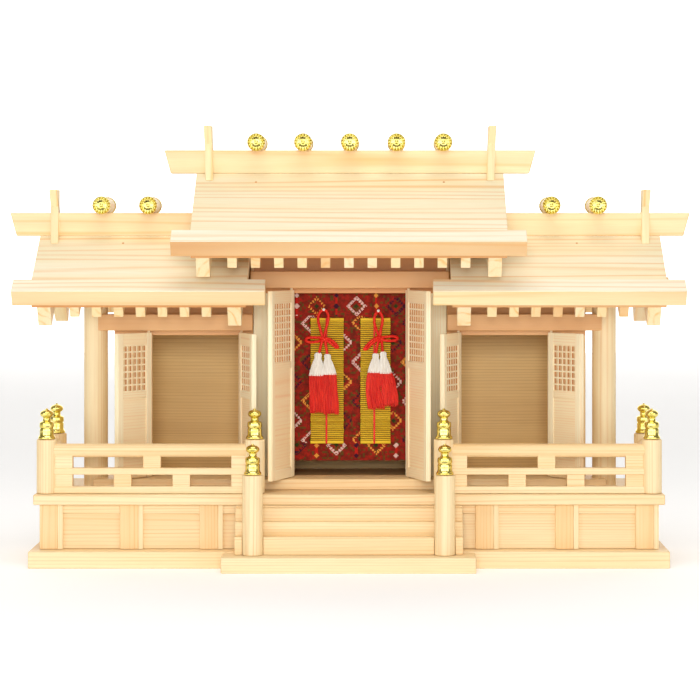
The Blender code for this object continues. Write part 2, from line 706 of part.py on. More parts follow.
def blade(roof, x, side, rear, top):
    """One of two crossed blades; it rises from one slope over the ridge line to the other side."""
    cross = roof.foot + BLADE_CROSS_UP
    rise = math.tan(BLADE_STEEP)
    half = BLADE_WIDE / 2 / math.sin(BLADE_STEEP)
    lift = SEAT / math.cos(roof.slope)

    def foot(offset):
        """Where an edge of the blade meets the slope it stands on."""
        fall = math.tan(roof.slope)
        out = (cross - roof.foot - lift - RIDGE_HALF_THICK * fall + offset * rise) / (rise - fall)
        return -out, roof.plane(out, 0.0) + lift

    def head(offset):
        return (top - cross) / rise + offset, top

    low_near, low_far = foot(-half), foot(half)
    outline = [low_near, low_far, head(-half), head(half)]
    placed = [(RIDGE_Y + rear * y, z) for y, z in outline]
    solid = prism(placed, "X", x - BLADE_THICK / 2, x + BLADE_THICK / 2)
    for vert in solid.verts:
        vert.co.x += side * (vert.co.z - roof.foot) * math.tan(BLADE_LEAN)
    return solid


def ridge_bar(left, right, foot, lean_left, lean_right):
    """Ridge bar whose ends lean out toward the top."""
    low = foot + SEAT
    high = foot + RIDGE_TALL
    outline = [(left, low), (right, low), (right + lean_right, high), (left - lean_left, high)]
    return prism(outline, "Y", RIDGE_Y - RIDGE_HALF_THICK, RIDGE_Y + RIDGE_HALF_THICK)


def make_ridges(wood):
    log_up = RIDGE_TALL + LOG_RADIUS - LOG_SUNK
    pieces = [ridge_bar(-MAIN_RIDGE_HALF, MAIN_RIDGE_HALF, MAIN_FOOT, RIDGE_LEAN, RIDGE_LEAN)]
    for step in range(MAIN_LOGS):
        pieces += log((step - (MAIN_LOGS - 1) / 2) * MAIN_LOG_PITCH, MAIN_FOOT + log_up)
    for side in (-1, 1):
        for rear in (-1, 1):
            pieces.append(blade(MAIN_ROOF, side * (MAIN_RIDGE_HALF - MAIN_BLADE_INSET), side, rear,
                                MAIN_BLADE_TOP))
    shape("ridge_centre", pieces, wood)
    side_long = SIDE_RIDGE_OUTER - SIDE_RIDGE_INNER
    side_logs = [SIDE_RIDGE_INNER + share * side_long for share in SIDE_LOG_SHARES]
    side_blade = SIDE_RIDGE_INNER + SIDE_BLADE_SHARE * side_long
    for side, word in ((-1, "left"), (1, "right")):
        if side < 0:
            bar = ridge_bar(-SIDE_RIDGE_OUTER, -SIDE_RIDGE_INNER, SIDE_FOOT, RIDGE_LEAN, 0.0)
        else:
            bar = ridge_bar(SIDE_RIDGE_INNER, SIDE_RIDGE_OUTER, SIDE_FOOT, 0.0, RIDGE_LEAN)
        pieces = [bar]
        for x in side_logs:
            pieces += log(side * x, SIDE_FOOT + log_up)
        for rear in (-1, 1):
            pieces.append(blade(SIDE_ROOF, side * side_blade, side, rear, SIDE_BLADE_TOP))
        shape(f"ridge_{word}", pieces, wood)


# Walls


def make_front_walls(wood):
    low = SILL_TOP + SEAT
    span = (WALL_Y, behind(FRONT_WALL_THICK))
    top = roof_under(MAIN_ROOF, RIDGE_BEHIND, RAFTER_TALL) - SEAT
    plate = block((-CENTRE_WALL_X, CENTRE_WALL_X), span, (low, top))
    door = block((-CENTRE_OPENING, CENTRE_OPENING), (WALL_Y - LAP, span[1] + LAP),
                 (low - LAP, CENTRE_OPENING_TOP))
    shape("front_wall_centre", [plate], wood, cutters=[door])
    top = roof_under(SIDE_ROOF, RIDGE_BEHIND, BARGE_TALL) - SEAT
    for side, word in ((-1, "left"), (1, "right")):
        plate = block((side * (CENTRE_WALL_X + SEAT), side * OUTER_WALL_X), span, (low, top))
        door = block((side * SIDE_OPENING[0], side * SIDE_OPENING[1]),
                     (WALL_Y - LAP, span[1] + LAP), (low - LAP, SIDE_OPENING_TOP))
        shape(f"front_wall_{word}", [plate], wood, cutters=[door])


def gable(roof, hang):
    """Outline of a side wall between the front and back walls, up to the underside of a roof."""
    front = FRONT_WALL_THICK + SEAT
    back = BACK_WALL_BEHIND - WALL_THICK - SEAT
    low = SILL_TOP + SEAT
    return [(behind(front), low), (behind(back), low),
            (behind(back), roof_under(roof, back - RIDGE_BEHIND, hang) - SEAT),
            (RIDGE_Y, roof_under(roof, 0.0, hang) - SEAT),
            (behind(front), roof_under(roof, RIDGE_BEHIND - front, hang) - SEAT)]


def make_side_walls(wood):
    for side, word in ((-1, "left"), (1, "right")):
        outer = sorted((side * OUTER_WALL_X, side * (OUTER_WALL_X - WALL_THICK)))
        add_object(f"outer_wall_{word}", prism(gable(SIDE_ROOF, 0.0), "X", *outer), wood)
        inner = sorted((side * CENTRE_WALL_X, side * (CENTRE_WALL_X - WALL_THICK)))
        add_object(f"centre_wall_{word}", prism(gable(MAIN_ROOF, RAFTER_TALL), "X", *inner), wood)


def make_back_wall(wood):
    """One board across the three bays, higher in the middle, notched under the side barges."""
    out = BACK_WALL_BEHIND - RIDGE_BEHIND
    low = SILL_TOP + SEAT
    main_top = roof_under(MAIN_ROOF, out, RAFTER_TALL) - SEAT
    side_top = roof_under(SIDE_ROOF, out, RAFTER_TALL) - SEAT
    notch_z = roof_under(SIDE_ROOF, out, BARGE_TALL) - SEAT
    barge = SIDE_ROOF_X - SIDE_BARGE_X
    notch = (barge - BARGE_WIDE / 2 - SEAT, barge + BARGE_WIDE / 2 + SEAT)
    half = [(0.0, main_top), (CENTRE_WALL_X, main_top), (CENTRE_WALL_X, side_top),
            (notch[0], side_top), (notch[0], notch_z), (notch[1], notch_z), (notch[1], side_top),
            (OUTER_WALL_X, side_top), (OUTER_WALL_X, low)]
    outline = half[1:] + [(-x, z) for x, z in reversed(half[1:])]
    add_object("back_wall", prism(outline, "Y", behind(BACK_WALL_BEHIND - WALL_THICK),
                                  behind(BACK_WALL_BEHIND)), wood)


# Doors


def lattice(left, right, low, high, columns, rows):
    """A pierced plate: crossing bars with open cells between them."""
    def marks(start, end, cells):
        pitch = (end - start) / cells
        places = [start - LAP]
        for cell in range(cells):
            places += [start + cell * pitch + LATTICE_BAR / 2, start + (cell + 1) * pitch - LATTICE_BAR / 2]
        places.append(end + LAP)
        return places

    xs = marks(left, right, columns)
    zs = marks(low, high, rows)
    solid = bmesh.new()
    faces = []
    corners = {}

    def corner(column, row):
        key = (column, row)
        if key not in corners:
            corners[key] = solid.verts.new((xs[column], -LATTICE_THICK / 2, zs[row]))
        return corners[key]

    for column in range(len(xs) - 1):
        for row in range(len(zs) - 1):
            if column % 2 and row % 2:
                continue
            faces.append(solid.faces.new((corner(column, row), corner(column + 1, row),
                                          corner(column + 1, row + 1), corner(column, row + 1))))
    swept = bmesh.ops.extrude_face_region(solid, geom=faces)
    moved = [item for item in swept["geom"] if isinstance(item, bmesh.types.BMVert)]
    bmesh.ops.translate(solid, verts=moved, vec=(0.0, LATTICE_THICK, 0.0))
    bmesh.ops.recalc_face_normals(solid, faces=solid.faces)
    return solid


def door_leaf(name, hinge_x, handed, wide, beam_low, cells, opened, wood):
    """A framed leaf on pins in the sill and the beam.

    It is modelled shut, with the pins on its own Z axis, and then turned open. handed is 1 where
    the shut leaf runs toward +X from its pins.
    """
    low = SILL_TOP + LEAF_BOTTOM_GAP
    high = beam_low - LEAF_TOP_GAP
    half = LEAF_THICK / 2
    start = -handed * PIVOT_INSET
    end = start + handed * wide

    def frame(x, z):
        return block(x, (-half, half), z)

    inner = sorted((start + handed * STILE, end - handed * STILE))
    columns, rows = cells
    lattice_high = high - LEAF_TOP_RAIL
    lattice_low = lattice_high - rows * LATTICE_PITCH
    panel_high = lattice_low - LEAF_MIDDLE_RAIL
    across = (inner[0] - LAP, inner[1] + LAP)
    panel = (-LEAF_PANEL_THICK / 2, LEAF_PANEL_THICK / 2)
    pieces = [
        frame((start, start + handed * STILE), (low, high)),
        frame((end - handed * STILE, end), (low, high)),
        frame(across, (lattice_high, high)),
        frame(across, (panel_high, lattice_low)),
        frame(across, (low, low + LEAF_BOTTOM_RAIL)),
        lattice(inner[0], inner[1], lattice_low, lattice_high, columns, rows),
        block(across, panel, (low + LEAF_BOTTOM_RAIL - LAP, panel_high + LAP)),
        rod((0.0, 0.0, high - LAP), (0.0, 0.0, beam_low + PIN_DEEP), PIN_RADIUS, PIN_SIDES),
        rod((0.0, 0.0, SILL_TOP - PIN_DEEP), (0.0, 0.0, low + LAP), PIN_RADIUS, PIN_SIDES),
    ]
    leaf = shape(name, pieces, wood, round_edges=40)
    leaf.location = (hinge_x, PIVOT_Y, 0.0)
    leaf.rotation_euler = (0.0, 0.0, -handed * opened)
    return leaf


def make_doors(wood):
    outer, inner = SIDE_PIVOTS
    side_wide = (outer - inner) / 2 + PIVOT_INSET - LEAF_GAP
    centre_wide = CENTRE_PIVOT + PIVOT_INSET - LEAF_GAP
    side_low = SIDE_BEAM[0]
    centre_low = CENTRE_BEAM[0]
    door_leaf("door_left_outer", -outer, 1, side_wide, side_low, SIDE_LATTICE, OPEN_LEFT_OUTER, wood)
    door_leaf("door_left_inner", -inner, -1, side_wide, side_low, SIDE_LATTICE, OPEN_LEFT_INNER, wood)
    door_leaf("door_centre_left", -CENTRE_PIVOT, 1, centre_wide, centre_low, CENTRE_LATTICE,
              OPEN_CENTRE_LEFT, wood)
    door_leaf("door_centre_right", CENTRE_PIVOT, -1, centre_wide, centre_low, CENTRE_LATTICE,
              OPEN_CENTRE_RIGHT, wood)
    door_leaf("door_right_inner", inner, 1, side_wide, side_low, SIDE_LATTICE, OPEN_RIGHT_INNER, wood)
    door_leaf("door_right_outer", outer, -1, side_wide, side_low, SIDE_LATTICE, OPEN_RIGHT_OUTER, wood)


# Hangings


def make_hangings(brocade, bamboo, silk):
    """A curtain behind the centre opening, two blinds on it and a tassel before each blind."""
    curtain_front = behind(FRONT_WALL_THICK + SEAT)
    add_object("curtain", block((-CURTAIN_HALF, CURTAIN_HALF),
                                (curtain_front, curtain_front + CURTAIN_THICK),
                                (CURTAIN_BOTTOM, CURTAIN_TOP)), brocade)
    blind_back = curtain_front - SEAT
    blind_front = blind_back - BLIND_THICK
    for word, span in (("left", BLIND_LEFT), ("right", BLIND_RIGHT)):
        add_object(f"blind_{word}", block(span, (blind_front, blind_back),
                                          (BLIND_BOTTOM, BLIND_TOP)), bamboo)
    tassel_back = blind_front - SEAT
    for word, middle in (("left", TASSEL_LEFT_X), ("right", TASSEL_RIGHT_X)):
        half = [(TASSEL_CORD_HALF, TASSEL_PIN_DOWN), (TASSEL_CORD_HALF, TASSEL_KNOT_DOWN),
                (TASSEL_KNOT_HALF, TASSEL_KNOT_DOWN), (TASSEL_HEAD_HALF, TASSEL_HEAD_DOWN),
                (TASSEL_FRINGE_HALF, TASSEL_BOTTOM_DOWN)]
        outline = [(middle + x, CENTRE_OPENING_TOP - down) for x, down in half]
        outline += [(middle - x, CENTRE_OPENING_TOP - down) for x, down in reversed(half)]
        tassel = prism(outline, "Y", tassel_back - TASSEL_THICK, tassel_back)
        add_object(f"tassel_{word}", tassel, silk)


def main():
    clear_scene()
    hinoki = make_material("hinoki", (0.86, 0.68, 0.42), 0.55)
    roof_wood = make_material("roof_hinoki", (0.91, 0.78, 0.55), 0.6)
    brass = make_material("brass", (0.83, 0.62, 0.22), 0.25, 1.0)
    brocade = make_material("brocade", (0.45, 0.04, 0.03), 0.8)
    bamboo = make_material("bamboo", (0.62, 0.47, 0.12), 0.6)
    silk = make_material("silk", (0.8, 0.05, 0.04), 0.6)
    make_base(hinoki)
    make_podium(hinoki)
    make_deck(hinoki)
    make_steps(hinoki)
    make_front_newels(hinoki)
    make_railings(hinoki)
    make_finials(brass)
    make_sill(hinoki)
    make_columns(hinoki)
    make_beams(hinoki)
    make_front_walls(hinoki)
    make_side_walls(hinoki)
    make_back_wall(hinoki)
    make_roofs(roof_wood)
    make_ridges(roof_wood)
    make_doors(hinoki)
    make_hangings(brocade, bamboo, silk)


main()
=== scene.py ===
"""Looks of the three-bay household shrine: hinoki boards, brass caps, brocade, blinds and tassels.

Metres, +Z up, the front faces -Y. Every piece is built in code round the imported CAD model, which
gives the bodies that the pieces ride on. Depths are measured from the front face of the walls.
"""
import math
import random

import bmesh
import bpy
from mathutils import Matrix, Vector


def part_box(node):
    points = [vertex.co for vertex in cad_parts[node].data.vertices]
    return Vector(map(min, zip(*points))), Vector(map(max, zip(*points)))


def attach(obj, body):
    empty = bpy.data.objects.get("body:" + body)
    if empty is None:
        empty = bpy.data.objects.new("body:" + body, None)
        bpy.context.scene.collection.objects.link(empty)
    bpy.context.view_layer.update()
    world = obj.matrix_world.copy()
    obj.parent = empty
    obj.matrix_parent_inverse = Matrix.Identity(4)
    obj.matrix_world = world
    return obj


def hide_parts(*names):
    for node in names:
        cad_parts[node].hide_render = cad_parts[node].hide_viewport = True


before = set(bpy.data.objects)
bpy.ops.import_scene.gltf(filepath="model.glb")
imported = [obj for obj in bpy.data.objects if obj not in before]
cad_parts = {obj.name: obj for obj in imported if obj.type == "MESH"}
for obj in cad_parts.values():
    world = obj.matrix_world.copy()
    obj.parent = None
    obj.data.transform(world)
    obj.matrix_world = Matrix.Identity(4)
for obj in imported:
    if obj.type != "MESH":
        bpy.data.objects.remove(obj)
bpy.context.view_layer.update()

MM = 0.001
X_AXIS = Vector((1.0, 0.0, 0.0))
Y_AXIS = Vector((0.0, 1.0, 0.0))
Z_AXIS = Vector((0.0, 0.0, 1.0))

# Gap between pieces that rest on, or are let into, each other
SEAT = 0.3 * MM
LAP = 1.0 * MM
# Chamfer left by the plane and sandpaper on ordinary boards, on slender ones and on some others
EDGE = 0.45 * MM
FINE_EDGE = 0.2 * MM
BROAD_EDGE = 0.6 * MM
PODIUM_RAIL_EDGE = 0.7 * MM
DECK_EDGE = 0.8 * MM
SLIGHT_EDGE = 0.4 * MM
POST_EDGE = 0.5 * MM
LEAF_EDGE = 0.3 * MM
TAPE_EDGE = 0.1 * MM

# The hand and the word of each side
SIDES = ((-1, "left"), (1, "right"))

# Front face of the walls, and the line of the three ridges behind it
WALL_Y = -2.65 * MM
RIDGE_BEHIND = 9.7 * MM
RIDGE_Y = WALL_Y + RIDGE_BEHIND

# Podium, deck and steps
PODIUM_TOP = 53.4 * MM
PODIUM_AHEAD = 58.2 * MM
PODIUM_BEHIND = 84.0 * MM
PODIUM_POST = 20.0 * MM
PODIUM_POST_CENTRES = (118.6 * MM, 187.2 * MM, 256.2 * MM)
PODIUM_RAIL_TALL = 8.0 * MM
PODIUM_RAIL_BACK = 1.5 * MM
PODIUM_PANEL_BACK = 3.5 * MM
PODIUM_PANEL_THICK = 4.0 * MM
PALE_STRIP = 4.2 * MM
DECK_THICK = 9.0 * MM
DECK_TOP = PODIUM_TOP + DECK_THICK
STEP_HALF = 97.0 * MM
STEP_TOPS = (51.7 * MM, 40.6 * MM, 28.8 * MM)
STEP_AHEAD = (73.2 * MM, 81.1 * MM, 89.1 * MM)
STEP_UNDER_DECK = 58.6 * MM
PODIUM_BEHIND_STEPS = 6.0 * MM

# Railings
NEWEL_RADIUS = 8.7 * MM
NEWEL_X = 81.5 * MM
CORNER_X = 260.6 * MM
RAIL_AHEAD = 53.2 * MM
REAR_POST_BEHIND = 15.9 * MM
FRONT_NEWEL_AHEAD = 88.2 * MM
POST_TOP = 109.0 * MM
RAIL_DEEP = 10.0 * MM
BOTTOM_RAIL_TOP = 6.4 * MM
MIDDLE_RAIL = (16.5 * MM, 22.1 * MM)
TOP_RAIL_RADIUS = 5.85 * MM
TOP_RAIL_UP = 37.1 * MM
RAIL_BLOCK = 15.0 * MM
RAIL_BLOCK_DEEP = 8.0 * MM
UPPER_BLOCKS = 3
LOWER_BLOCKS = 4

# Floor board, columns and walls
SILL_AHEAD = 24.7 * MM
SILL_TOP = DECK_TOP + 9.4 * MM
COLUMN_X = 224.0 * MM
COLUMN_RADIUS = 10.5 * MM
SIDE_BEAM = (201.0 * MM, 215.4 * MM)
CENTRE_BEAM = (238.3 * MM, 253.2 * MM)
FRONT_WALL_THICK = 7.0 * MM
WALL_THICK = 5.0 * MM
LINING_BACK = 3.0 * MM
FACE_GAP = 0.02 * MM
OUTER_WALL_X = 207.7 * MM
CENTRE_WALL_X = 85.2 * MM
BACK_WALL_BEHIND = 84.0 * MM
SIDE_OPENING = (97.5 * MM, 174.5 * MM)
SIDE_OPENING_TOP = 196.6 * MM
CENTRE_OPENING = 49.2 * MM
CENTRE_OPENING_TOP = 233.6 * MM

# Door leaves
LEAF_THICK = 4.4 * MM
PIVOT_AHEAD = 4.5 * MM
PIVOT_INSET = 2.0 * MM
LEAF_GAP = 0.3 * MM
LEAF_BOTTOM_GAP = 0.7 * MM
LEAF_TOP_GAP = 1.8 * MM
SIDE_PIVOTS = (177.2 * MM, 95.4 * MM)
CENTRE_PIVOT = 51.6 * MM
PIN_RADIUS = 1.2 * MM
PIN_DEEP = 2.6 * MM
STILE = 6.8 * MM
LEAF_TOP_RAIL = 10.6 * MM
LEAF_MIDDLE_RAIL = 6.0 * MM
LEAF_BOTTOM_RAIL = 9.0 * MM
LATTICE_PITCH = 5.76 * MM
LATTICE_BAR = 1.4 * MM
LATTICE_THICK = 2.6 * MM
LATTICE_STEP = 0.12 * MM
LATTICE_SKIN = 0.3 * MM
LEAF_PANEL_THICK = 2.4 * MM
SIDE_LATTICE = (5, 7)
CENTRE_LATTICE = (7, 9)

# Roofs
RIDGE_HALF_THICK = 7.0 * MM
BOARD_THICK = 12.5 * MM
EAVE_BAR_THICK = 15.0 * MM
EAVE_BAR_PROUD = 1.0 * MM
EAVE_BAR_WIDE = 18.0 * MM
# The eave bars are red heartwood; their pale top layer is painted top light and edge highlight
EAVE_BAR_HIGHLIGHT_LAYER = 1.0 * MM
SOFFIT_THICK = 2.5 * MM
SOFFIT_BACK = 0.5 * MM
RAFTER_WIDE = 8.0 * MM
RAFTER_TALL = 10.3 * MM
RAFTER_BACK = 1.0 * MM
BARGE_WIDE = 11.6 * MM
BARGE_TALL = 19.5 * MM
ROOF_HALF_GAP = 0.15 * MM
BAR_UNDER = EAVE_BAR_PROUD - EAVE_BAR_THICK
SOFFIT_UNDER = BAR_UNDER - SOFFIT_THICK

# Ridge bars, logs and crossed blades
RIDGE_TALL = 20.5 * MM
RIDGE_SEAT = 0.05 * MM
MAIN_RIDGE_HALF = 158.3 * MM
SIDE_RIDGE_OUTER = 294.4 * MM
SIDE_RIDGE_INNER = 131.0 * MM
RIDGE_LEAN = 5.7 * MM
LOG_RADIUS = 7.1 * MM
LOG_HALF = 28.0 * MM
LOG_SUNK = 0.6 * MM
MAIN_LOG_PITCH = 41.0 * MM
MAIN_LOGS = 5
SIDE_LOG_SHARES = (0.28, 0.53)
LOG_CAP_RADIUS = 7.9 * MM
PEG_X = 82.5 * MM
SIDE_PEG_X = 199.5 * MM
PEG_DOWN = 0.13
PEG_RADIUS = 1.0 * MM
PEG_PROUD = 0.2 * MM
LOG_CAP_LONG = 4.0 * MM
LOG_CAP_FLUTES = 16
LOG_CAP_FLUTE_DEEP = 1.6 * MM
BLADE_THICK = 6.8 * MM
BLADE_WIDE = 9.0 * MM
BLADE_LEAN = math.radians(2.5)
BLADE_STEEP = math.radians(68.0)
BLADE_CROSS_UP = 26.1 * MM
MAIN_BLADE_INSET = 34.3 * MM
MAIN_BLADE_TOP = 381.5 * MM
SIDE_BLADE_SHARE = 0.79
SIDE_BLADE_TOP = 325.0 * MM

# A face this square to the grain, as a cosine, shows end grain
END_GRAIN_TURN = 0.7

# Facets of the round pieces
POST_SIDES = 48
ROD_SIDES = 32
PIN_SIDES = 16
FINIAL_SIDES = 48
NEWEL_NOTCH_SIDES = 24
COLUMN_NOTCH_SIDES = 20
BEAM_NOTCH_SIDES = 12

# Edges of a chamfered solid turn by more than this
SHARP_TURN = math.radians(28)


def ahead(distance):
    """Y of a plane this far in front of the walls."""
    return WALL_Y - distance


def behind(distance):
    """Y of a plane this far behind the front of the walls."""
    return WALL_Y + distance


def in_millimetres(points):
    return [(first * MM, second * MM) for first, second in points]


def evenly(first, last, count):
    """Numbers at even distances, from the first to the last."""
    return [first + (last - first) * step / (count - 1) for step in range(count)]


def put_in_scene(name, data):
    item = bpy.data.objects.new(name, data)
    bpy.context.scene.collection.objects.link(item)
    return item


# Solids, each a bmesh that is closed and faces outward


def prism(outline, axis, low, high):
    """Extrude a flat outline along an axis.

    The outline's points are (y, z) along X, (x, z) along Y and (x, y) along Z.
    """
    place = {
        "X": lambda a, b, c: (c, a, b),
        "Y": lambda a, b, c: (a, c, b),
        "Z": lambda a, b, c: (a, b, c),
    }[axis]
    solid = bmesh.new()
    bottom = [solid.verts.new(place(a, b, low)) for a, b in outline]
    base = solid.faces.new(bottom)
    swept = bmesh.ops.extrude_face_region(solid, geom=[base])
    moved = [item for item in swept["geom"] if isinstance(item, bmesh.types.BMVert)]
    bmesh.ops.translate(solid, verts=moved, vec=place(0.0, 0.0, high - low))
    bmesh.ops.recalc_face_normals(solid, faces=solid.faces)
    return solid


def block(x, y, z):
    """A box between pairs of X, Y and Z, given in either order."""
    (left, right), (front, back) = sorted(x), sorted(y)
    outline = [(left, front), (right, front), (right, back), (left, back)]
    return prism(outline, "Z", min(z), max(z))


def rod(start, end, radius, sides=ROD_SIDES):
    """A round bar between two points."""
    start, end = Vector(start), Vector(end)
    turn = (end - start).to_track_quat("Z", "Y").to_matrix().to_4x4()
    solid = bmesh.new()
    bmesh.ops.create_cone(solid, cap_ends=True, segments=sides, radius1=radius, radius2=radius,
                          depth=(end - start).length,
                          matrix=Matrix.Translation((start + end) / 2) @ turn)
    return solid


def lathe(rings, place, sides, ripple=None):
    """A closed solid turned about its own Z axis, from (radius, height) rings, put in place.

    The first and last radius are zero. ripple(radius, height, angle) may change both.
    """
    solid = bmesh.new()
    low = solid.verts.new(place @ Vector((0.0, 0.0, rings[0][1])))
    high = solid.verts.new(place @ Vector((0.0, 0.0, rings[-1][1])))
    rows = []
    for radius, height in rings[1:-1]:
        row = []
        for step in range(sides):
            angle = 2 * math.pi * step / sides
            reach, lift = ripple(radius, height, angle) if ripple else (radius, height)
            row.append(solid.verts.new(place @ Vector((reach * math.cos(angle),
                                                       reach * math.sin(angle), lift))))
        rows.append(row)
    for step in range(sides):
        after = (step + 1) % sides
        solid.faces.new((low, rows[0][after], rows[0][step]))
        solid.faces.new((high, rows[-1][step], rows[-1][after]))
        for lower, upper in zip(rows, rows[1:]):
            solid.faces.new((lower[step], lower[after], upper[after], upper[step]))
    bmesh.ops.recalc_face_normals(solid, faces=solid.faces)
    return solid


def skin(solid, rows):
    """Close a solid through rows of corners, with a flat face at each end."""
    solid.faces.new(rows[0][::-1])
    solid.faces.new(rows[-1])
    for lower, upper in zip(rows, rows[1:]):
        for step, corner in enumerate(lower):
            after = (step + 1) % len(lower)
            solid.faces.new((corner, lower[after], upper[after], upper[step]))
    bmesh.ops.recalc_face_normals(solid, faces=solid.faces)
    return solid


def soften(solid, edge):
    """Chamfer the sharp edges of a solid."""
    sharp = [item for item in solid.edges
             if len(item.link_faces) == 2 and item.calc_face_angle() > SHARP_TURN]
    bmesh.ops.bevel(solid, geom=sharp, offset=edge, segments=1, profile=0.5, affect="EDGES",
                    clamp_overlap=True)


class Timber:
    """Boards and rods gathered into one piece, each with its own grain and its own tone."""

    # How far from the heart of its tree a board was sawn, and how far up the trunk at most
    PITH_NEAR = 45 * MM
    PITH_FAR = 130 * MM
    RUN = 3.0

    def __init__(self, seed):
        self.draw = random.Random(seed)
        self.places = []
        self.faces = []
        self.grain = []
        self.tones = []
        self.cuts = []

    def add(self, solid, along, edge=EDGE, tone=0.0, spread=0.25):
        """Take in one solid whose grain follows the direction along.

        The heart of the tree it was sawn from lies off to one side, so that its rings cross
        the faces as they do on a real board.
        """
        if edge:
            soften(solid, edge)
        along = Vector(along).normalized()
        across = along.orthogonal().normalized()
        third = along.cross(across)
        centre = sum((vert.co for vert in solid.verts), Vector()) / len(solid.verts)
        reach = self.draw.uniform(self.PITH_NEAR, self.PITH_FAR)
        turn = self.draw.uniform(0.0, 2 * math.pi)
        pith = (reach * math.cos(turn), reach * math.sin(turn))
        run = self.draw.uniform(0.0, self.RUN)
        shade = tone + self.draw.uniform(-spread, spread)
        base = len(self.places)
        solid.verts.index_update()
        solid.normal_update()
        for vert in solid.verts:
            local = vert.co - centre
            self.places.append(vert.co.copy())
            self.grain.append((local.dot(along) + run, local.dot(across) + pith[0],
                               local.dot(third) + pith[1]))
            self.tones.append(shade)
        for face in solid.faces:
            self.faces.append([base + vert.index for vert in face.verts])
            self.cuts.append(1.0 if abs(face.normal.dot(along)) > END_GRAIN_TURN else 0.0)
        solid.free()
        return self

    def board(self, x, y, z, along=None, **kinds):
        """A straight board; its grain runs along its longest side unless along is given."""
        spans = [abs(x[1] - x[0]), abs(y[1] - y[0]), abs(z[1] - z[0])]
        longest = (X_AXIS, Y_AXIS, Z_AXIS)[spans.index(max(spans))]
        return self.add(block(x, y, z), along or longest, **kinds)

    def make(self, name, material, slot, nodes, body="root", place=None, smooth=40):
        """Turn what was gathered into one object, which stands for the CAD nodes."""
        mesh = bpy.data.meshes.new(name)
        mesh.from_pydata([place @ spot for spot in self.places] if place else self.places, [],
                         self.faces)
        grain = mesh.attributes.new("grain", "FLOAT_VECTOR", "POINT")
        grain.data.foreach_set("vector", [value for spot in self.grain for value in spot])
        tone = mesh.attributes.new("tone", "FLOAT", "POINT")
        tone.data.foreach_set("value", self.tones)
        cut = mesh.attributes.new("end_grain", "FLOAT", "FACE")
        cut.data.foreach_set("value", self.cuts)
        return finish_piece(name, mesh, material, nodes, body, smooth)

    def stand_for(self, node, wood, slot="wood"):
        """Make the piece of wood that stands for one CAD node."""
        return self.make(f"{node}_wood", wood, slot, [node])


def finish_piece(name, mesh, material, nodes, body="root", smooth=40):
    """Put a mesh into the scene as a piece that rides on a body and stands for CAD nodes."""
    mesh.materials.append(material)
    mesh.shade_smooth()
    mesh.set_sharp_from_angle(angle=math.radians(smooth))
    item = put_in_scene(name, mesh)
    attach(item, body)
    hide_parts(*nodes)
    return item


def joined(solids):
    """Several closed solids as one mesh."""
    mesh = bpy.data.meshes.new("joined")
    places, faces = [], []
    for solid in solids:
        base = len(places)
        solid.verts.index_update()
        places += [vert.co.copy() for vert in solid.verts]
        faces += [[base + vert.index for vert in face.verts] for face in solid.faces]
        solid.free()
    mesh.from_pydata(places, [], faces)
    return mesh


# Materials


class Shader:
    """A node material under construction, with short ways to add and link its nodes."""

    def __init__(self, name):
        self.material = bpy.data.materials.new(name)
        self.material.use_nodes = True
        self.tree = self.material.node_tree
        self.surface = self.tree.nodes["Principled BSDF"]

    def node(self, kind, inputs=None, **settings):
        """Add a node; inputs maps a socket's name or number to a value or another output."""
        made = self.tree.nodes.new(kind)
        for name, value in settings.items():
            setattr(made, name, value)
        for name, value in (inputs or {}).items():
            self.set(made.inputs[name], value)
        return made

    def set(self, socket, value):
        if isinstance(value, bpy.types.NodeSocket):
            self.tree.links.new(value, socket)
        else:
            socket.default_value = value

    def attribute(self, name, output="Vector"):
        return self.node("ShaderNodeAttribute", attribute_name=name).outputs[output]

    def sums(self, operation, first, second=0.0, clamp=False):
        made = self.node("ShaderNodeMath", {0: first, 1: second}, operation=operation,
                         use_clamp=clamp)
        return made.outputs[0]

    def times(self, *values):
        result = values[0]
        for value in values[1:]:
            result = self.sums("MULTIPLY", result, value)
        return result

    def plus(self, first, second, clamp=False):
        return self.sums("ADD", first, second, clamp)

    def minus(self, first, second):
        return self.sums("SUBTRACT", first, second)

    def above(self, value, limit):
        return self.sums("GREATER_THAN", value, limit)

    def below(self, value, limit):
        return self.sums("LESS_THAN", value, limit)

    def scaled(self, vector, factors):
        made = self.node("ShaderNodeVectorMath", {0: vector, 1: factors}, operation="MULTIPLY")
        return made.outputs[0]

    def noise(self, vector, detail=2.0, rough=0.5, output="Fac"):
        made = self.node("ShaderNodeTexNoise", {"Vector": vector, "Scale": 1.0, "Detail": detail,
                                                "Roughness": rough})
        return made.outputs[output]

    def stretched(self, grain, along, across, **kinds):
        """Noise drawn out along the grain; along and across count its cells per metre."""
        return self.noise(self.scaled(grain, (along, across, across)), **kinds)

    def range(self, value, low, high, to_low=0.0, to_high=1.0):
        made = self.node("ShaderNodeMapRange", {"Value": value, "From Min": low, "From Max": high,
                                                "To Min": to_low, "To Max": to_high})
        return made.outputs["Result"]

    def mix(self, factor, first, second):
        made = self.node("ShaderNodeMix", data_type="RGBA")
        self.set(made.inputs[0], factor)
        self.set(made.inputs[6], first)
        self.set(made.inputs[7], second)
        return made.outputs[2]

    def bump(self, height, strength, distance):
        made = self.node("ShaderNodeBump", {"Height": height, "Strength": strength,
                                            "Distance": distance})
        self.set(self.surface.inputs["Normal"], made.outputs[0])

    def finish(self, **values):
        for name, value in values.items():
            self.set(self.surface.inputs[name.replace("_", " ")], value)
        return self.material


def linear(red, green, blue):
    """A shader colour from the sRGB values of a picture, 0 to 255."""
    def straight(value):
        share = value / 255
        return share / 12.92 if share <= 0.04045 else ((share + 0.055) / 1.055) ** 2.4

    return (straight(red), straight(green), straight(blue), 1.0)


WOOD_ROUGHNESS = 0.5
WOOD_RELIEF = 0.15 * MM
# Scale of a wave texture whose rings lie one metre apart
RING_SCALE = 2 * math.pi / 20


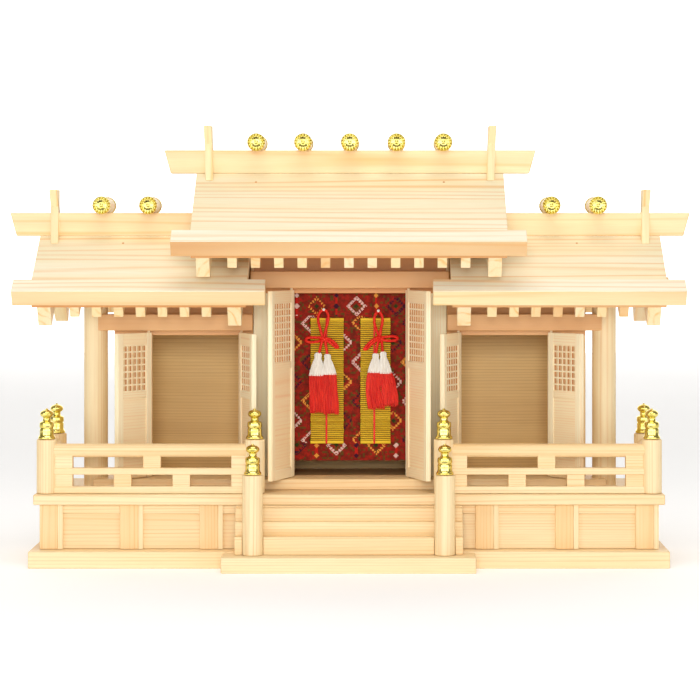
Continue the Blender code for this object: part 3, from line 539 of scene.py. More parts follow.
def make_wood(name, pale, deep, late, heart, ring, lines=0.6):
    """Hinoki: fine fibres, growth rings cut by the board's faces, slow drifts of colour.

    ring is the spacing of the growth rings, and lines says how strongly their late wood shows.
    A board's tone runs from -1, the palest, over 1 to 3, which is all red heartwood; on some boards
    a high tone is painted shade and a low one is painted light.
    """
    shader = Shader(name)
    grain = shader.attribute("grain")
    tone = shader.attribute("tone", "Fac")
    cut = shader.attribute("end_grain", "Fac")
    drift = shader.stretched(grain, 3.0, 28.0)
    wander = shader.stretched(grain, 1.8, 45.0, detail=1.0, output="Color")
    centred = shader.node("ShaderNodeVectorMath", {0: wander, 1: (0.5, 0.5, 0.5)},
                          operation="SUBTRACT").outputs[0]
    sway = 3.2 * ring
    pushed = shader.node("ShaderNodeVectorMath",
                         {0: grain, 1: shader.scaled(centred, (0.0, sway, sway))},
                         operation="ADD").outputs[0]
    wave = shader.node("ShaderNodeTexWave", {"Vector": pushed, "Scale": RING_SCALE / ring},
                       wave_type="RINGS", rings_direction="X", wave_profile="SIN")
    peak = shader.sums("POWER", wave.outputs["Fac"], 5.0)
    density = shader.stretched(grain, 2.0, 160.0, detail=1.0)
    late_wood = shader.times(peak, shader.range(density, 0.35, 0.7, 0.25, 1.0))
    fibre = shader.stretched(grain, 28.0, 900.0, detail=3.0, rough=0.6)
    fine = shader.stretched(grain, 120.0, 3200.0)
    body = shader.range(shader.plus(drift, shader.times(tone, 0.45)), 0.25, 0.8)
    # Share of the red heartwood colour, which on the boards set in shade is painted shade
    red = shader.range(shader.plus(tone, shader.range(drift, 0.3, 0.7, -0.5, 0.5)), 1.0, 3.0)
    colour = shader.mix(red, shader.mix(body, pale, deep), heart)
    colour = shader.mix(shader.times(late_wood, lines), colour, shader.mix(red, late, heart))
    colour = shader.mix(shader.range(fibre, 0.3, 0.75, 0.0, 0.22), colour, late)
    pores = shader.range(fine, 0.35, 0.7, 0.05, 0.4)
    colour = shader.mix(shader.times(cut, pores), colour, late)
    dull = shader.range(fibre, 0.3, 0.7, WOOD_ROUGHNESS - 0.06, WOOD_ROUGHNESS + 0.08)
    gloss = shader.plus(dull, shader.times(late_wood, -0.08))
    fibres = shader.plus(shader.times(fibre, 0.5), shader.times(fine, 0.35))
    shader.bump(shader.plus(shader.times(late_wood, 0.6), fibres), 0.22, WOOD_RELIEF)
    return shader.finish(Base_Color=colour, Roughness=gloss, Specular_IOR_Level=0.35)


def make_brass():
    """Pressed and polished brass, a little duller in patches."""
    shader = Shader("polished_brass")
    where = shader.node("ShaderNodeTexCoord").outputs["Object"]
    patch = shader.noise(shader.scaled(where, (160.0, 160.0, 160.0)), detail=3.0)
    scratch = shader.noise(shader.scaled(where, (900.0, 900.0, 5200.0)))
    colour = shader.mix(shader.range(patch, 0.4, 0.75), linear(246, 232, 142),
                        linear(216, 196, 80))
    gloss = shader.plus(shader.range(patch, 0.3, 0.8, 0.1, 0.2),
                        shader.range(scratch, 0.3, 0.8, 0.0, 0.06))
    shader.bump(scratch, 0.08, 0.05 * MM)
    return shader.finish(Base_Color=colour, Roughness=gloss, Metallic=1.0)


def strand_blend(shader, tone, drift, reach):
    """Share of the deeper colour, from each strand's own tone and a drift along it."""
    return shader.plus(shader.range(tone, -1.0, 1.0), shader.range(drift, 0.3, 0.7, -reach, reach),
                       clamp=True)


def make_silk(name, pale, deep, dark):
    """Silk thread, each strand with its own shade."""
    shader = Shader(name)
    grain = shader.attribute("grain")
    drift = shader.stretched(grain, 90.0, 700.0)
    fibre = shader.stretched(grain, 160.0, 6500.0)
    blend = strand_blend(shader, shader.attribute("tone", "Fac"), drift, 0.7)
    colour = shader.mix(blend, pale, deep)
    colour = shader.mix(shader.range(fibre, 0.4, 0.75, 0.0, 0.75), colour, dark)
    shader.bump(fibre, 0.4, 0.1 * MM)
    return shader.finish(Base_Color=colour, Roughness=0.5, Specular_IOR_Level=0.2)


def make_bamboo():
    """Split bamboo slats, each with its own shade of green gold; a tone over 1 is in shadow."""
    shader = Shader("bamboo_slats")
    grain = shader.attribute("grain")
    tone = shader.attribute("tone", "Fac")
    fibre = shader.stretched(grain, 60.0, 2600.0, detail=3.0)
    blend = strand_blend(shader, tone, shader.stretched(grain, 40.0, 300.0), 0.2)
    colour = shader.mix(blend, linear(255, 220, 62), linear(212, 164, 18))
    colour = shader.mix(shader.range(fibre, 0.35, 0.75, 0.0, 0.35), colour, linear(128, 94, 12))
    colour = shader.mix(shader.range(tone, 1.0, 2.0), colour, linear(84, 58, 8))
    shader.bump(fibre, 0.25, 0.1 * MM)
    return shader.finish(Base_Color=colour, Roughness=0.5, Specular_IOR_Level=0.12)


# The brocade's pattern, in the weave's own metres: across from the gold diamond at the upper left,
# and up from the top row of diamonds
STITCH = 0.9 * MM
BAND_PITCH = 35.2 * MM
FIELD_PITCH = 44.2 * MM
FIELD_ROWS = 34.5 * MM
WEAVE_START = (-29.7 * MM, 222.0 * MM)
TOP_BAND = -8.5 * MM
LOW_BAND = -121.0 * MM
LOW_BAND_ROW = -123.0 * MM
FIELD_STARTS = ((-4.9 * MM, -15.0 * MM), (23.4 * MM, -32.2 * MM))
# In stitches: the outline and the heart of a diamond, and the small motifs and their red line
DIAMOND_OUTLINE = (6.6, 9.9)
DIAMOND_HEART = 2.5
DASH_PITCH = 4.0
DASH_GAP = 1.1
MOTIF_REACH = 2.6
MOTIF_TIP = 10.5
LINE_HALF = 1.2
LINE_REACH = 12.0
# Share of the stitches that a diamond's outline leaves out
SKIPPED_STITCHES = 0.1


def make_brocade():
    """Brocade woven in square stitches: stepped diamonds in four colours on a flecked red.

    A band of diamonds runs along the top and the bottom, and staggered rows fill the field.
    """
    shader = Shader("brocade")
    weave = shader.attribute("weave")
    parts = shader.node("ShaderNodeSeparateXYZ", {0: weave}).outputs

    def snapped(value):
        return shader.times(shader.sums("ROUND", shader.sums("DIVIDE", value, STITCH)), STITCH)

    across, up = snapped(parts[0]), snapped(parts[1])
    threads = shader.node("ShaderNodeCombineXYZ", {0: across, 1: up}).outputs[0]

    def between(value, low, high):
        return shader.times(shader.above(value, low), shader.below(value, high))

    def away(value, start, pitch):
        """Stitches from a value to the nearest line of a row, and that line's number."""
        moved = shader.sums("DIVIDE", shader.minus(value, start), pitch)
        number = shader.sums("ROUND", moved)
        off = shader.times(shader.minus(moved, number), pitch / STITCH)
        return shader.sums("ABSOLUTE", off), number

    def picked(number, colours):
        """One of the colours, by the number of the motif."""
        share = shader.sums("FLOORED_MODULO", number, float(len(colours)))
        result = colours[0]
        for place, colour in enumerate(colours[1:], 1):
            result = shader.mix(between(share, place - 0.5, place + 0.5), result, colour)
        return result

    def chance(vector):
        return shader.node("ShaderNodeTexWhiteNoise", {"Vector": vector},
                           noise_dimensions="3D").outputs["Value"]

    gold, white = linear(236, 158, 66), linear(234, 196, 186)
    navy, green, red = linear(58, 14, 40), linear(40, 58, 12), linear(196, 30, 16)
    fleck = chance(shader.scaled(threads, (1 / STITCH, 1 / STITCH, 1.0)))
    pairs = shader.scaled(threads, (0.5 / STITCH, 0.5 / STITCH, 1.0))
    blot = chance(shader.node("ShaderNodeVectorMath", {0: pairs}, operation="FLOOR").outputs[0])
    patch = shader.noise(shader.scaled(weave, (170.0, 170.0, 170.0)))
    colour = shader.mix(shader.range(patch, 0.35, 0.65), linear(176, 34, 20), linear(116, 28, 12))
    colour = shader.mix(shader.times(shader.above(fleck, 0.62), 0.45), colour, linear(96, 36, 14))
    colour = shader.mix(shader.times(shader.above(blot, 0.8), 0.7), colour, linear(74, 78, 24))
    kept = shader.above(fleck, SKIPPED_STITCHES)

    def diamond_row(colour, inside, start, pitch, v_start, v_pitch, colours):
        """Stepped outlines with a green heart."""
        side, column = away(across, start, pitch)
        rise, row = away(up, v_start, v_pitch)
        reach = shader.plus(side, rise)
        along = shader.sums("FLOORED_MODULO", shader.minus(side, rise), DASH_PITCH)
        dashes = shader.above(along, DASH_GAP)
        outline = shader.times(inside, between(reach, *DIAMOND_OUTLINE), dashes, kept)
        number = shader.minus(shader.times(column, 2.0), row)
        colour = shader.mix(outline, colour, picked(number, colours))
        return shader.mix(shader.times(inside, shader.below(reach, DIAMOND_HEART)), colour, green)

    def cross_row(colour, inside, start, v_start, colours):
        """Small motifs on an upright red line, between the diamonds of a band."""
        side, column = away(across, start, BAND_PITCH)
        rise, _row = away(up, v_start, 1.0)
        line = shader.times(inside, shader.below(side, LINE_HALF), shader.below(rise, LINE_REACH))
        colour = shader.mix(line, colour, red)
        tips = shader.sums("ABSOLUTE", shader.minus(rise, MOTIF_TIP))
        spot = shader.plus(shader.sums("MINIMUM", rise, tips), side)
        motif = shader.times(inside, shader.below(spot, MOTIF_REACH))
        return shader.mix(motif, colour, picked(column, colours))

    top, low = shader.above(up, TOP_BAND), shader.below(up, LOW_BAND)
    field = between(up, LOW_BAND, TOP_BAND)
    for inside, row, shift, motifs, diamonds in (
            (top, 0.0, 0.0, (navy, gold, white), (gold, navy, white)),
            (low, LOW_BAND_ROW, BAND_PITCH / 2, (gold, navy, white), (white, navy, gold))):
        colour = cross_row(colour, inside, BAND_PITCH / 2 - shift, row, motifs)
        colour = diamond_row(colour, inside, shift, BAND_PITCH, row, 1.0, diamonds)
    for (start, row), diamonds in zip(FIELD_STARTS, ((white, navy, gold), (white, gold, navy))):
        colour = diamond_row(colour, field, start, FIELD_PITCH, row, FIELD_ROWS, diamonds)
    cross = shader.times(*[
        shader.node("ShaderNodeTexWave", {"Vector": weave, "Scale": RING_SCALE / STITCH},
                    wave_type="BANDS", bands_direction=way).outputs["Fac"] for way in "XY"])
    colour = shader.mix(shader.range(cross, 0.0, 0.5, 0.22, 0.0), colour, linear(60, 12, 6))
    shader.bump(cross, 0.35, 0.12 * MM)
    return shader.finish(Base_Color=colour, Roughness=0.7, Specular_IOR_Level=0.1)


# Base, podium, deck and steps


def board_of(node):
    """The span of a CAD node along X, Y and Z."""
    low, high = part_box(node)
    return [(low[axis], high[axis]) for axis in range(3)]


def make_base(wood):
    for seed, node, tone in ((11, "base_board", 0.0), (12, "stair_base", -0.1)):
        Timber(seed).board(*board_of(node), edge=BROAD_EDGE, tone=tone).stand_for(node, wood)


def podium_run(timber, start, end, face, inward, axis, post_centres):
    """Posts, a rail under the deck and sunk panels between the posts."""
    low, high = board_of("podium_front_left")[2]

    def put(along, front, deep, z, grain, **kinds):
        across = (face + inward * front, face + inward * (front + deep))
        spans = (along, across, z) if axis == "X" else (across, along, z)
        timber.board(*spans, along=grain, **kinds)

    run_way = X_AXIS if axis == "X" else Y_AXIS
    put((start, end), PODIUM_PANEL_BACK, PODIUM_PANEL_THICK, (low, high - LAP), run_way)
    put((start, end), PODIUM_RAIL_BACK, PODIUM_PANEL_BACK + PODIUM_PANEL_THICK - PODIUM_RAIL_BACK,
        (high - PODIUM_RAIL_TALL, high), run_way, edge=PODIUM_RAIL_EDGE)
    for centre in post_centres:
        left, right = centre - PODIUM_POST / 2, centre + PODIUM_POST / 2
        if axis == "X":
            put((left, right - PALE_STRIP), 0.0, PODIUM_POST, (low, high), Z_AXIS, tone=0.5)
            put((right - PALE_STRIP, right), 0.0, PODIUM_POST, (low, high), Z_AXIS,
                edge=FINE_EDGE, tone=-0.9)
        else:
            put((left, right), 0.0, PODIUM_POST, (low, high), Z_AXIS)


def make_podium(wood):
    front = ahead(PODIUM_AHEAD)
    back = behind(PODIUM_BEHIND)
    outer = PODIUM_POST_CENTRES[-1] + PODIUM_POST / 2
    for side, word in SIDES:
        centres = [side * centre for centre in PODIUM_POST_CENTRES]
        timber = Timber(20 + side)
        inner = side * (STEP_HALF - PODIUM_BEHIND_STEPS)
        podium_run(timber, inner, centres[-1], front, 1, "X", centres)
        timber.stand_for(f"podium_front_{word}", wood)
    start = front + PODIUM_POST + SEAT
    end = back - PODIUM_POST / 2
    timber = Timber(24)
    for side in (-1, 1):
        podium_run(timber, start, end, side * outer, -side, "Y", ((start + end) / 2,))
    centres = [side * centre for side in (-1, 1) for centre in PODIUM_POST_CENTRES]
    corner = PODIUM_POST_CENTRES[-1]
    podium_run(timber, -corner, corner, back, -1, "X", centres)
    timber.stand_for("podium_back", wood)


def make_deck(wood):
    Timber(31).board(*board_of("deck"), edge=DECK_EDGE, tone=-0.15).stand_for("deck", wood)


def ring_arc(x, y, radius, start, end, count):
    """Points of an arc round (x, y), from one angle to another."""
    return [(x + radius * math.cos(start + (end - start) * step / count),
             y + radius * math.sin(start + (end - start) * step / count))
            for step in range(count + 1)]


def make_steps(wood):
    """Solid treads, one on another, let in round the front newels."""
    timber = Timber(32)
    reach = NEWEL_RADIUS + SEAT
    newel_y = ahead(FRONT_NEWEL_AHEAD)
    back = ahead(STEP_UNDER_DECK)
    bottom = board_of("steps")[2][0]
    for number, top in enumerate(STEP_TOPS):
        low = STEP_TOPS[number + 1] if number + 1 < len(STEP_TOPS) else bottom
        face = ahead(STEP_AHEAD[number])
        outline = [(STEP_HALF, face), (STEP_HALF, back), (-STEP_HALF, back), (-STEP_HALF, face)]
        for side in (-1, 1):
            gap = face - newel_y
            if abs(gap) < reach:
                half = math.acos(gap / reach)
                turn = math.pi / 2
                arc = ring_arc(side * NEWEL_X, newel_y, reach, turn + half, turn - half,
                               NEWEL_NOTCH_SIDES)
                outline += [point for point in arc if point[1] >= face - SEAT]
        timber.add(prism(outline, "Z", low, top), X_AXIS, edge=SLIGHT_EDGE)
    deck_front = board_of("deck")[1][0]
    timber.board((-STEP_HALF, STEP_HALF), (deck_front + LAP, back),
                 (STEP_TOPS[0] - LAP, PODIUM_TOP - SEAT), edge=FINE_EDGE)
    timber.stand_for("steps", wood)


# Railings


def put_post(timber, x, y, low, high, radius=NEWEL_RADIUS, **kinds):
    timber.add(rod((x, y, low), (x, y, high), radius, POST_SIDES), Z_AXIS, edge=POST_EDGE, **kinds)


def put_railing(timber, start, end, fixed, axis, upper_blocks, lower_blocks):
    """Three rails with short blocks between them, along X or along Y at the fixed place."""
    foot = DECK_TOP + SEAT
    way = X_AXIS if axis == "X" else Y_AXIS

    def bar(run, deep, z, **kinds):
        across = (fixed - deep / 2, fixed + deep / 2)
        spans = (run, across, z) if axis == "X" else (across, run, z)
        timber.board(*spans, **kinds)

    middle = (DECK_TOP + MIDDLE_RAIL[0], DECK_TOP + MIDDLE_RAIL[1])
    top = DECK_TOP + TOP_RAIL_UP
    ends = [(start, fixed, top), (end, fixed, top)]
    if axis == "Y":
        ends = [(fixed, start, top), (fixed, end, top)]
    bar((start, end), RAIL_DEEP, (foot, DECK_TOP + BOTTOM_RAIL_TOP), along=way)
    bar((start, end), RAIL_DEEP, middle, along=way)
    timber.add(rod(*ends, TOP_RAIL_RADIUS), way, edge=0.0)
    rows = ((upper_blocks, middle[1] - SEAT, top - TOP_RAIL_RADIUS / 2),
            (lower_blocks, DECK_TOP + BOTTOM_RAIL_TOP - SEAT, middle[0] + SEAT))
    for centres, low, high in rows:
        for centre in centres:
            span = (centre - RAIL_BLOCK / 2, centre + RAIL_BLOCK / 2)
            bar(span, RAIL_BLOCK_DEEP, (low, high), along=way, edge=FINE_EDGE)


def make_railings(wood):
    foot = DECK_TOP + SEAT
    front = ahead(RAIL_AHEAD)
    rear = behind(REAR_POST_BEHIND)
    for side, word in SIDES:
        timber = Timber(40 + side)
        corner = side * CORNER_X
        newel = side * NEWEL_X
        near_corner = side * (CORNER_X - NEWEL_RADIUS - RAIL_BLOCK / 2 + LAP)
        near_newel = side * (NEWEL_X + NEWEL_RADIUS + RAIL_BLOCK / 4)
        for x, y in ((corner, front), (newel, front), (corner, rear)):
            put_post(timber, x, y, foot, POST_TOP, tone=-0.35)
        put_railing(timber, min(corner, newel), max(corner, newel), front, "X",
                    evenly(near_corner, near_newel, UPPER_BLOCKS),
                    evenly(near_corner, near_newel, LOWER_BLOCKS))
        inset = NEWEL_RADIUS + RAIL_BLOCK / 4
        returns = [front + inset, rear - inset]
        put_railing(timber, front, rear, corner, "Y", returns, returns)
        timber.stand_for(f"railing_{word}", wood)
        low, high = board_of(f"front_newel_{word}")[2]
        timber = Timber(43 + side)
        put_post(timber, side * NEWEL_X, ahead(FRONT_NEWEL_AHEAD), low, high, tone=-0.35)
        timber.stand_for(f"front_newel_{word}", wood)


# A turned cap from its foot to its tip, as (radius, height) in millimetres: a tall banded collar,
# a neck, and a dome with a nipple
FINIAL_PROFILE = (
    (0.0, 0.0), (6.9, 0.0), (7.3, 0.25), (7.5, 0.7), (7.45, 1.5), (7.2, 2.1), (6.7, 2.6),
    (6.45, 3.0), (6.25, 3.5), (6.1, 4.2), (6.1, 6.5), (6.15, 8.4), (6.05, 8.8), (5.7, 9.1),
    (5.65, 9.5), (5.95, 9.8), (6.2, 10.2), (6.3, 11.0), (6.25, 13.0), (6.15, 13.9), (5.8, 14.5),
    (5.2, 14.9), (4.3, 15.2), (3.8, 15.5), (3.5, 16.1), (3.35, 16.9), (3.3, 17.7), (3.4, 18.3),
    (3.8, 18.8), (4.6, 19.3), (5.2, 19.9), (5.6, 20.7), (5.75, 21.5), (5.65, 22.3), (5.3, 23.1),
    (4.7, 23.8), (3.8, 24.4), (2.8, 24.85), (1.9, 25.15), (1.3, 25.4), (1.0, 25.7), (0.85, 26.05),
    (0.55, 26.3), (0.0, 26.4))


def make_finials(brass):
    for word in ("left", "right"):
        for kind in ("front", "newel", "corner", "rear"):
            node = f"finial_{kind}_{word}"
            low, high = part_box(node)
            foot = Vector(((low.x + high.x) / 2, (low.y + high.y) / 2, low.z))
            solid = lathe(in_millimetres(FINIAL_PROFILE), Matrix.Translation(foot), FINIAL_SIDES)
            finish_piece(f"{node}_brass", joined([solid]), brass, [node], smooth=50)


# Floor, columns, beams and walls


# Tone of the thin floor inside the centre bay: painted shade on the floor under the curtain
FLOOR_SHADE_TONE = 2.4
FLOOR_SUNK = 0.2 * MM


def make_sill(wood):
    """Floor board of the three bays, notched round the columns, and a thin floor in the middle,
    darkened as painted shade.
    """
    front, back = ahead(SILL_AHEAD), behind(PODIUM_BEHIND)
    reach = COLUMN_RADIUS + SEAT
    quarter = math.pi / 2
    outline = [(-COLUMN_X, front), (COLUMN_X, front)]
    outline += ring_arc(COLUMN_X, WALL_Y, reach, -quarter, -3 * quarter, COLUMN_NOTCH_SIDES)
    outline += [(COLUMN_X, back), (-COLUMN_X, back)]
    outline += ring_arc(-COLUMN_X, WALL_Y, reach, quarter, -quarter, COLUMN_NOTCH_SIDES)
    timber = Timber(51)
    timber.add(prism(outline, "Z", DECK_TOP + SEAT, SILL_TOP), X_AXIS, edge=POST_EDGE, tone=-0.1)
    half = CENTRE_WALL_X - WALL_THICK - SEAT
    floor = (behind(FRONT_WALL_THICK + SEAT), behind(BACK_WALL_BEHIND - WALL_THICK) - SEAT)
    timber.board((-half, half), floor, (SILL_TOP - FLOOR_SUNK, SILL_TOP + SEAT - FACE_GAP),
                 along=X_AXIS, edge=0.0, tone=FLOOR_SHADE_TONE)
    timber.stand_for("sill", wood)


def make_columns(wood):
    for side, word in SIDES:
        low, high = board_of(f"column_{word}")[2]
        timber = Timber(53 + side)
        put_post(timber, side * COLUMN_X, WALL_Y, low, high, COLUMN_RADIUS, tone=-0.7)
        timber.stand_for(f"column_{word}", wood)


def make_beams(wood):
    front = ahead(COLUMN_RADIUS)
    back = ahead(SEAT)
    reach = COLUMN_RADIUS + SEAT
    for side, word in SIDES:
        inner = side * (CENTRE_WALL_X + SEAT)
        outline = [(inner, back), (inner, front)]
        for y in evenly(front, back, BEAM_NOTCH_SIDES + 1):
            outline.append((side * (COLUMN_X - math.sqrt(reach ** 2 - (y - WALL_Y) ** 2)), y))
        timber = Timber(56 + side)
        # The side beams stand under the eaves; their dark red tone is painted shade
        timber.add(prism(outline, "Z", *SIDE_BEAM), X_AXIS, tone=2.4)
        timber.stand_for(f"side_beam_{word}", wood)
    timber = Timber(59)
    reach = SIDE_ROOF_X - SIDE_ROOF.board_half - SEAT
    # The centre beam's dark red tone is painted shade under the main eave
    timber.board((-reach, reach), (front, back), CENTRE_BEAM, tone=2.6)
    timber.stand_for("centre_beam", wood)


def make_front_walls(wood, lit_jamb_wood):
    """Upright boards beside each opening and a board across its top; the boards in the narrow
    spaces between the leaves are paler, as painted light, and those across the tops darker, as
    painted shade.
    """
    span = (WALL_Y, behind(FRONT_WALL_THICK))
    low, top = board_of("front_wall_centre")[2]
    # The jambs of the centre opening take a paler wood and tone: painted light in the shaded space
    # between the leaves
    jambs = Timber(60)
    for side in (-1, 1):
        jambs.board((side * CENTRE_OPENING, side * CENTRE_WALL_X), span, (low, CENTRE_OPENING_TOP),
                    along=Z_AXIS, tone=-0.9)
    jambs.make("front_wall_centre_jambs", lit_jamb_wood, "wood", ["front_wall_centre"])
    timber = Timber(61)
    # The board over the centre opening is darkened as painted shade under the main eave
    timber.board((-CENTRE_WALL_X, CENTRE_WALL_X), span, (CENTRE_OPENING_TOP, top), along=X_AXIS,
                 tone=3.4)
    side_top = board_of("front_wall_left")[2][1]
    for side in (-1, 1):
        closer = (side * (CENTRE_WALL_X - LAP), side * (SIDE_ROOF_X - SIDE_ROOF.board_half - SEAT))
        timber.board(closer, span, (side_top + SEAT, top), along=Z_AXIS, edge=FINE_EDGE)
    timber.stand_for("front_wall_centre", wood)
    for side, word in SIDES:
        low, top = board_of(f"front_wall_{word}")[2]
        inner, outer = CENTRE_WALL_X + SEAT, OUTER_WALL_X
        timber = Timber(63 + side)
        # This board between the bays is paler: painted light between the leaves
        timber.board((side * inner, side * SIDE_OPENING[0]), span, (low, SIDE_OPENING_TOP),
                     along=Z_AXIS, tone=-0.5)
        timber.board((side * SIDE_OPENING[1], side * outer), span, (low, SIDE_OPENING_TOP),
                     along=Z_AXIS)
        # The board over a side opening is darkened as painted shade under the eave
        timber.board((side * inner, side * outer), span, (SIDE_OPENING_TOP, top), along=X_AXIS,
                     tone=2.4)
        timber.stand_for(f"front_wall_{word}", wood)


class Roof:
    """Sizes of one roof; the top of its boards passes the foot of the ridge bar's faces."""

    def __init__(self, slope, foot, eave_ahead, board_half, bar_half, rafters, pitch, barge,
                 shift=0.0):
        self.slope = slope
        self.foot = foot
        self.reach = eave_ahead + RIDGE_BEHIND
        self.board_half = board_half
        self.bar_half = bar_half
        self.rafters = [shift + (step - (rafters - 1) / 2) * pitch for step in range(rafters)]
        self.barges = [-barge, barge]

    def plane(self, out, lift):
        """Height of a plane parallel to the slope, at a distance out from the ridge line."""
        drop = (out - RIDGE_HALF_THICK) * math.tan(self.slope)
        return self.foot - drop + lift / math.cos(self.slope)

    def eave(self, along, lift):
        """A point (out, z) counted up the slope from the eave's square-cut face."""
        edge_z = self.plane(self.reach, EAVE_BAR_PROUD)
        sunk = lift - EAVE_BAR_PROUD
        out = self.reach - along * math.cos(self.slope) + sunk * math.sin(self.slope)
        return out, edge_z + along * math.sin(self.slope) + sunk * math.cos(self.slope)

    def band(self, along, top, bottom):
        """Outline of a layer that runs from the eave to the ridge line."""
        gap = ROOF_HALF_GAP
        return [self.eave(along, top), (gap, self.plane(gap, top)),
                (gap, self.plane(gap, bottom)), self.eave(along, bottom)]


MAIN_ROOF = Roof(math.radians(32.5), 339.3 * MM, 92.6 * MM, 135.5 * MM, 151.3 * MM, 11, 19.9 * MM,
                 124.6 * MM)
SIDE_ROOF = Roof(math.radians(33.3), 284.0 * MM, 70.6 * MM, 93.0 * MM, 108.6 * MM, 7, 18.9 * MM,
                 81.8 * MM, -1.1 * MM)
SIDE_ROOF_X = 180.7 * MM


def roof_under(roof, out, hang=0.0):
    """Height of the underside of the soffit, or of what hangs this far under it."""
    return roof.plane(out, SOFFIT_UNDER - hang)


def gable(roof, hang):
    """Outline of a side wall between the front and back walls, up to the underside of a roof."""
    front = FRONT_WALL_THICK + SEAT
    back = BACK_WALL_BEHIND - WALL_THICK - SEAT
    low = SILL_TOP + SEAT
    return [(behind(front), low), (behind(back), low),
            (behind(back), roof_under(roof, back - RIDGE_BEHIND, hang) - SEAT),
            (RIDGE_Y, roof_under(roof, 0.0, hang) - SEAT),
            (behind(front), roof_under(roof, RIDGE_BEHIND - front, hang) - SEAT)]


def make_inner_walls(wood):
    for side, word in SIDES:
        for kind, seed, x, roof, hang in (("outer", 66, OUTER_WALL_X, SIDE_ROOF, 0.0),
                                          ("centre", 69, CENTRE_WALL_X, MAIN_ROOF, RAFTER_TALL)):
            timber = Timber(seed + side)
            span = sorted((side * x, side * (x - WALL_THICK)))
            timber.add(prism(gable(roof, hang), "X", *span), Y_AXIS)
            timber.stand_for(f"{kind}_wall_{word}", wood)


# The back wall keeps this far under the side rafters' ends
BACK_WALL_UNDER = 4 * SEAT


def make_back_wall(wood, shaded_lining_wood):
    """A board and its lining across the three bays, up to the ends of the rafters; the lining is
    darker, as painted shade.
    """
    low = SILL_TOP + SEAT
    main_top = roof_under(MAIN_ROOF, BACK_WALL_BEHIND - RIDGE_BEHIND, RAFTER_TALL) - SEAT
    side_top = SIDE_ROOF.eave(RAFTER_BACK, SOFFIT_UNDER)[1] - BACK_WALL_UNDER
    half = [(CENTRE_WALL_X, main_top), (CENTRE_WALL_X, side_top), (OUTER_WALL_X, side_top),
            (OUTER_WALL_X, low)]
    outline = half + [(-x, z) for x, z in reversed(half)]
    middle = behind(BACK_WALL_BEHIND - LINING_BACK)
    board = (middle, behind(BACK_WALL_BEHIND))
    lining = (behind(BACK_WALL_BEHIND - WALL_THICK), middle - FACE_GAP)
    for seed, name, span, kind, tone in ((72, "back_wall_wood", board, wood, 0.1),
                                         (73, "back_wall_lining", lining, shaded_lining_wood, 1.2)):
        timber = Timber(seed)
        timber.add(prism(outline, "Y", *span), X_AXIS, edge=FINE_EDGE, tone=tone)
        timber.make(name, kind, "wood", ["back_wall"])


# Roofs and ridges


MAIN_BAR_TONE = 2.35
SIDE_BAR_TONE = 1.5
# Tone of the soffit: painted shade under the eaves
SOFFIT_SHADE_TONE = 3.0
PEG_TONE = 4.0
# Boards of a roof come from one log, and its rafters from many
ROOF_SPREAD = 0.1
RAFTER_SPREAD = 0.8


def put_pegs(timber, roof, centre):
    """Round pegs in the boards of a front slope, just below the ridge bar."""
    out = RIDGE_HALF_THICK + PEG_DOWN * (roof.reach - RIDGE_HALF_THICK)
    spot = Vector((0.0, RIDGE_Y - out, roof.plane(out, 0.0)))
    proud = Vector((0.0, -math.sin(roof.slope), math.cos(roof.slope)))
    for x in (math.copysign(SIDE_PEG_X, centre),) if centre else (-PEG_X, PEG_X):
        foot = spot + X_AXIS * x
        timber.add(rod(foot - proud * PEG_RADIUS, foot + proud * PEG_PROUD, PEG_RADIUS, PIN_SIDES),
                   proud, edge=0.0, tone=PEG_TONE)


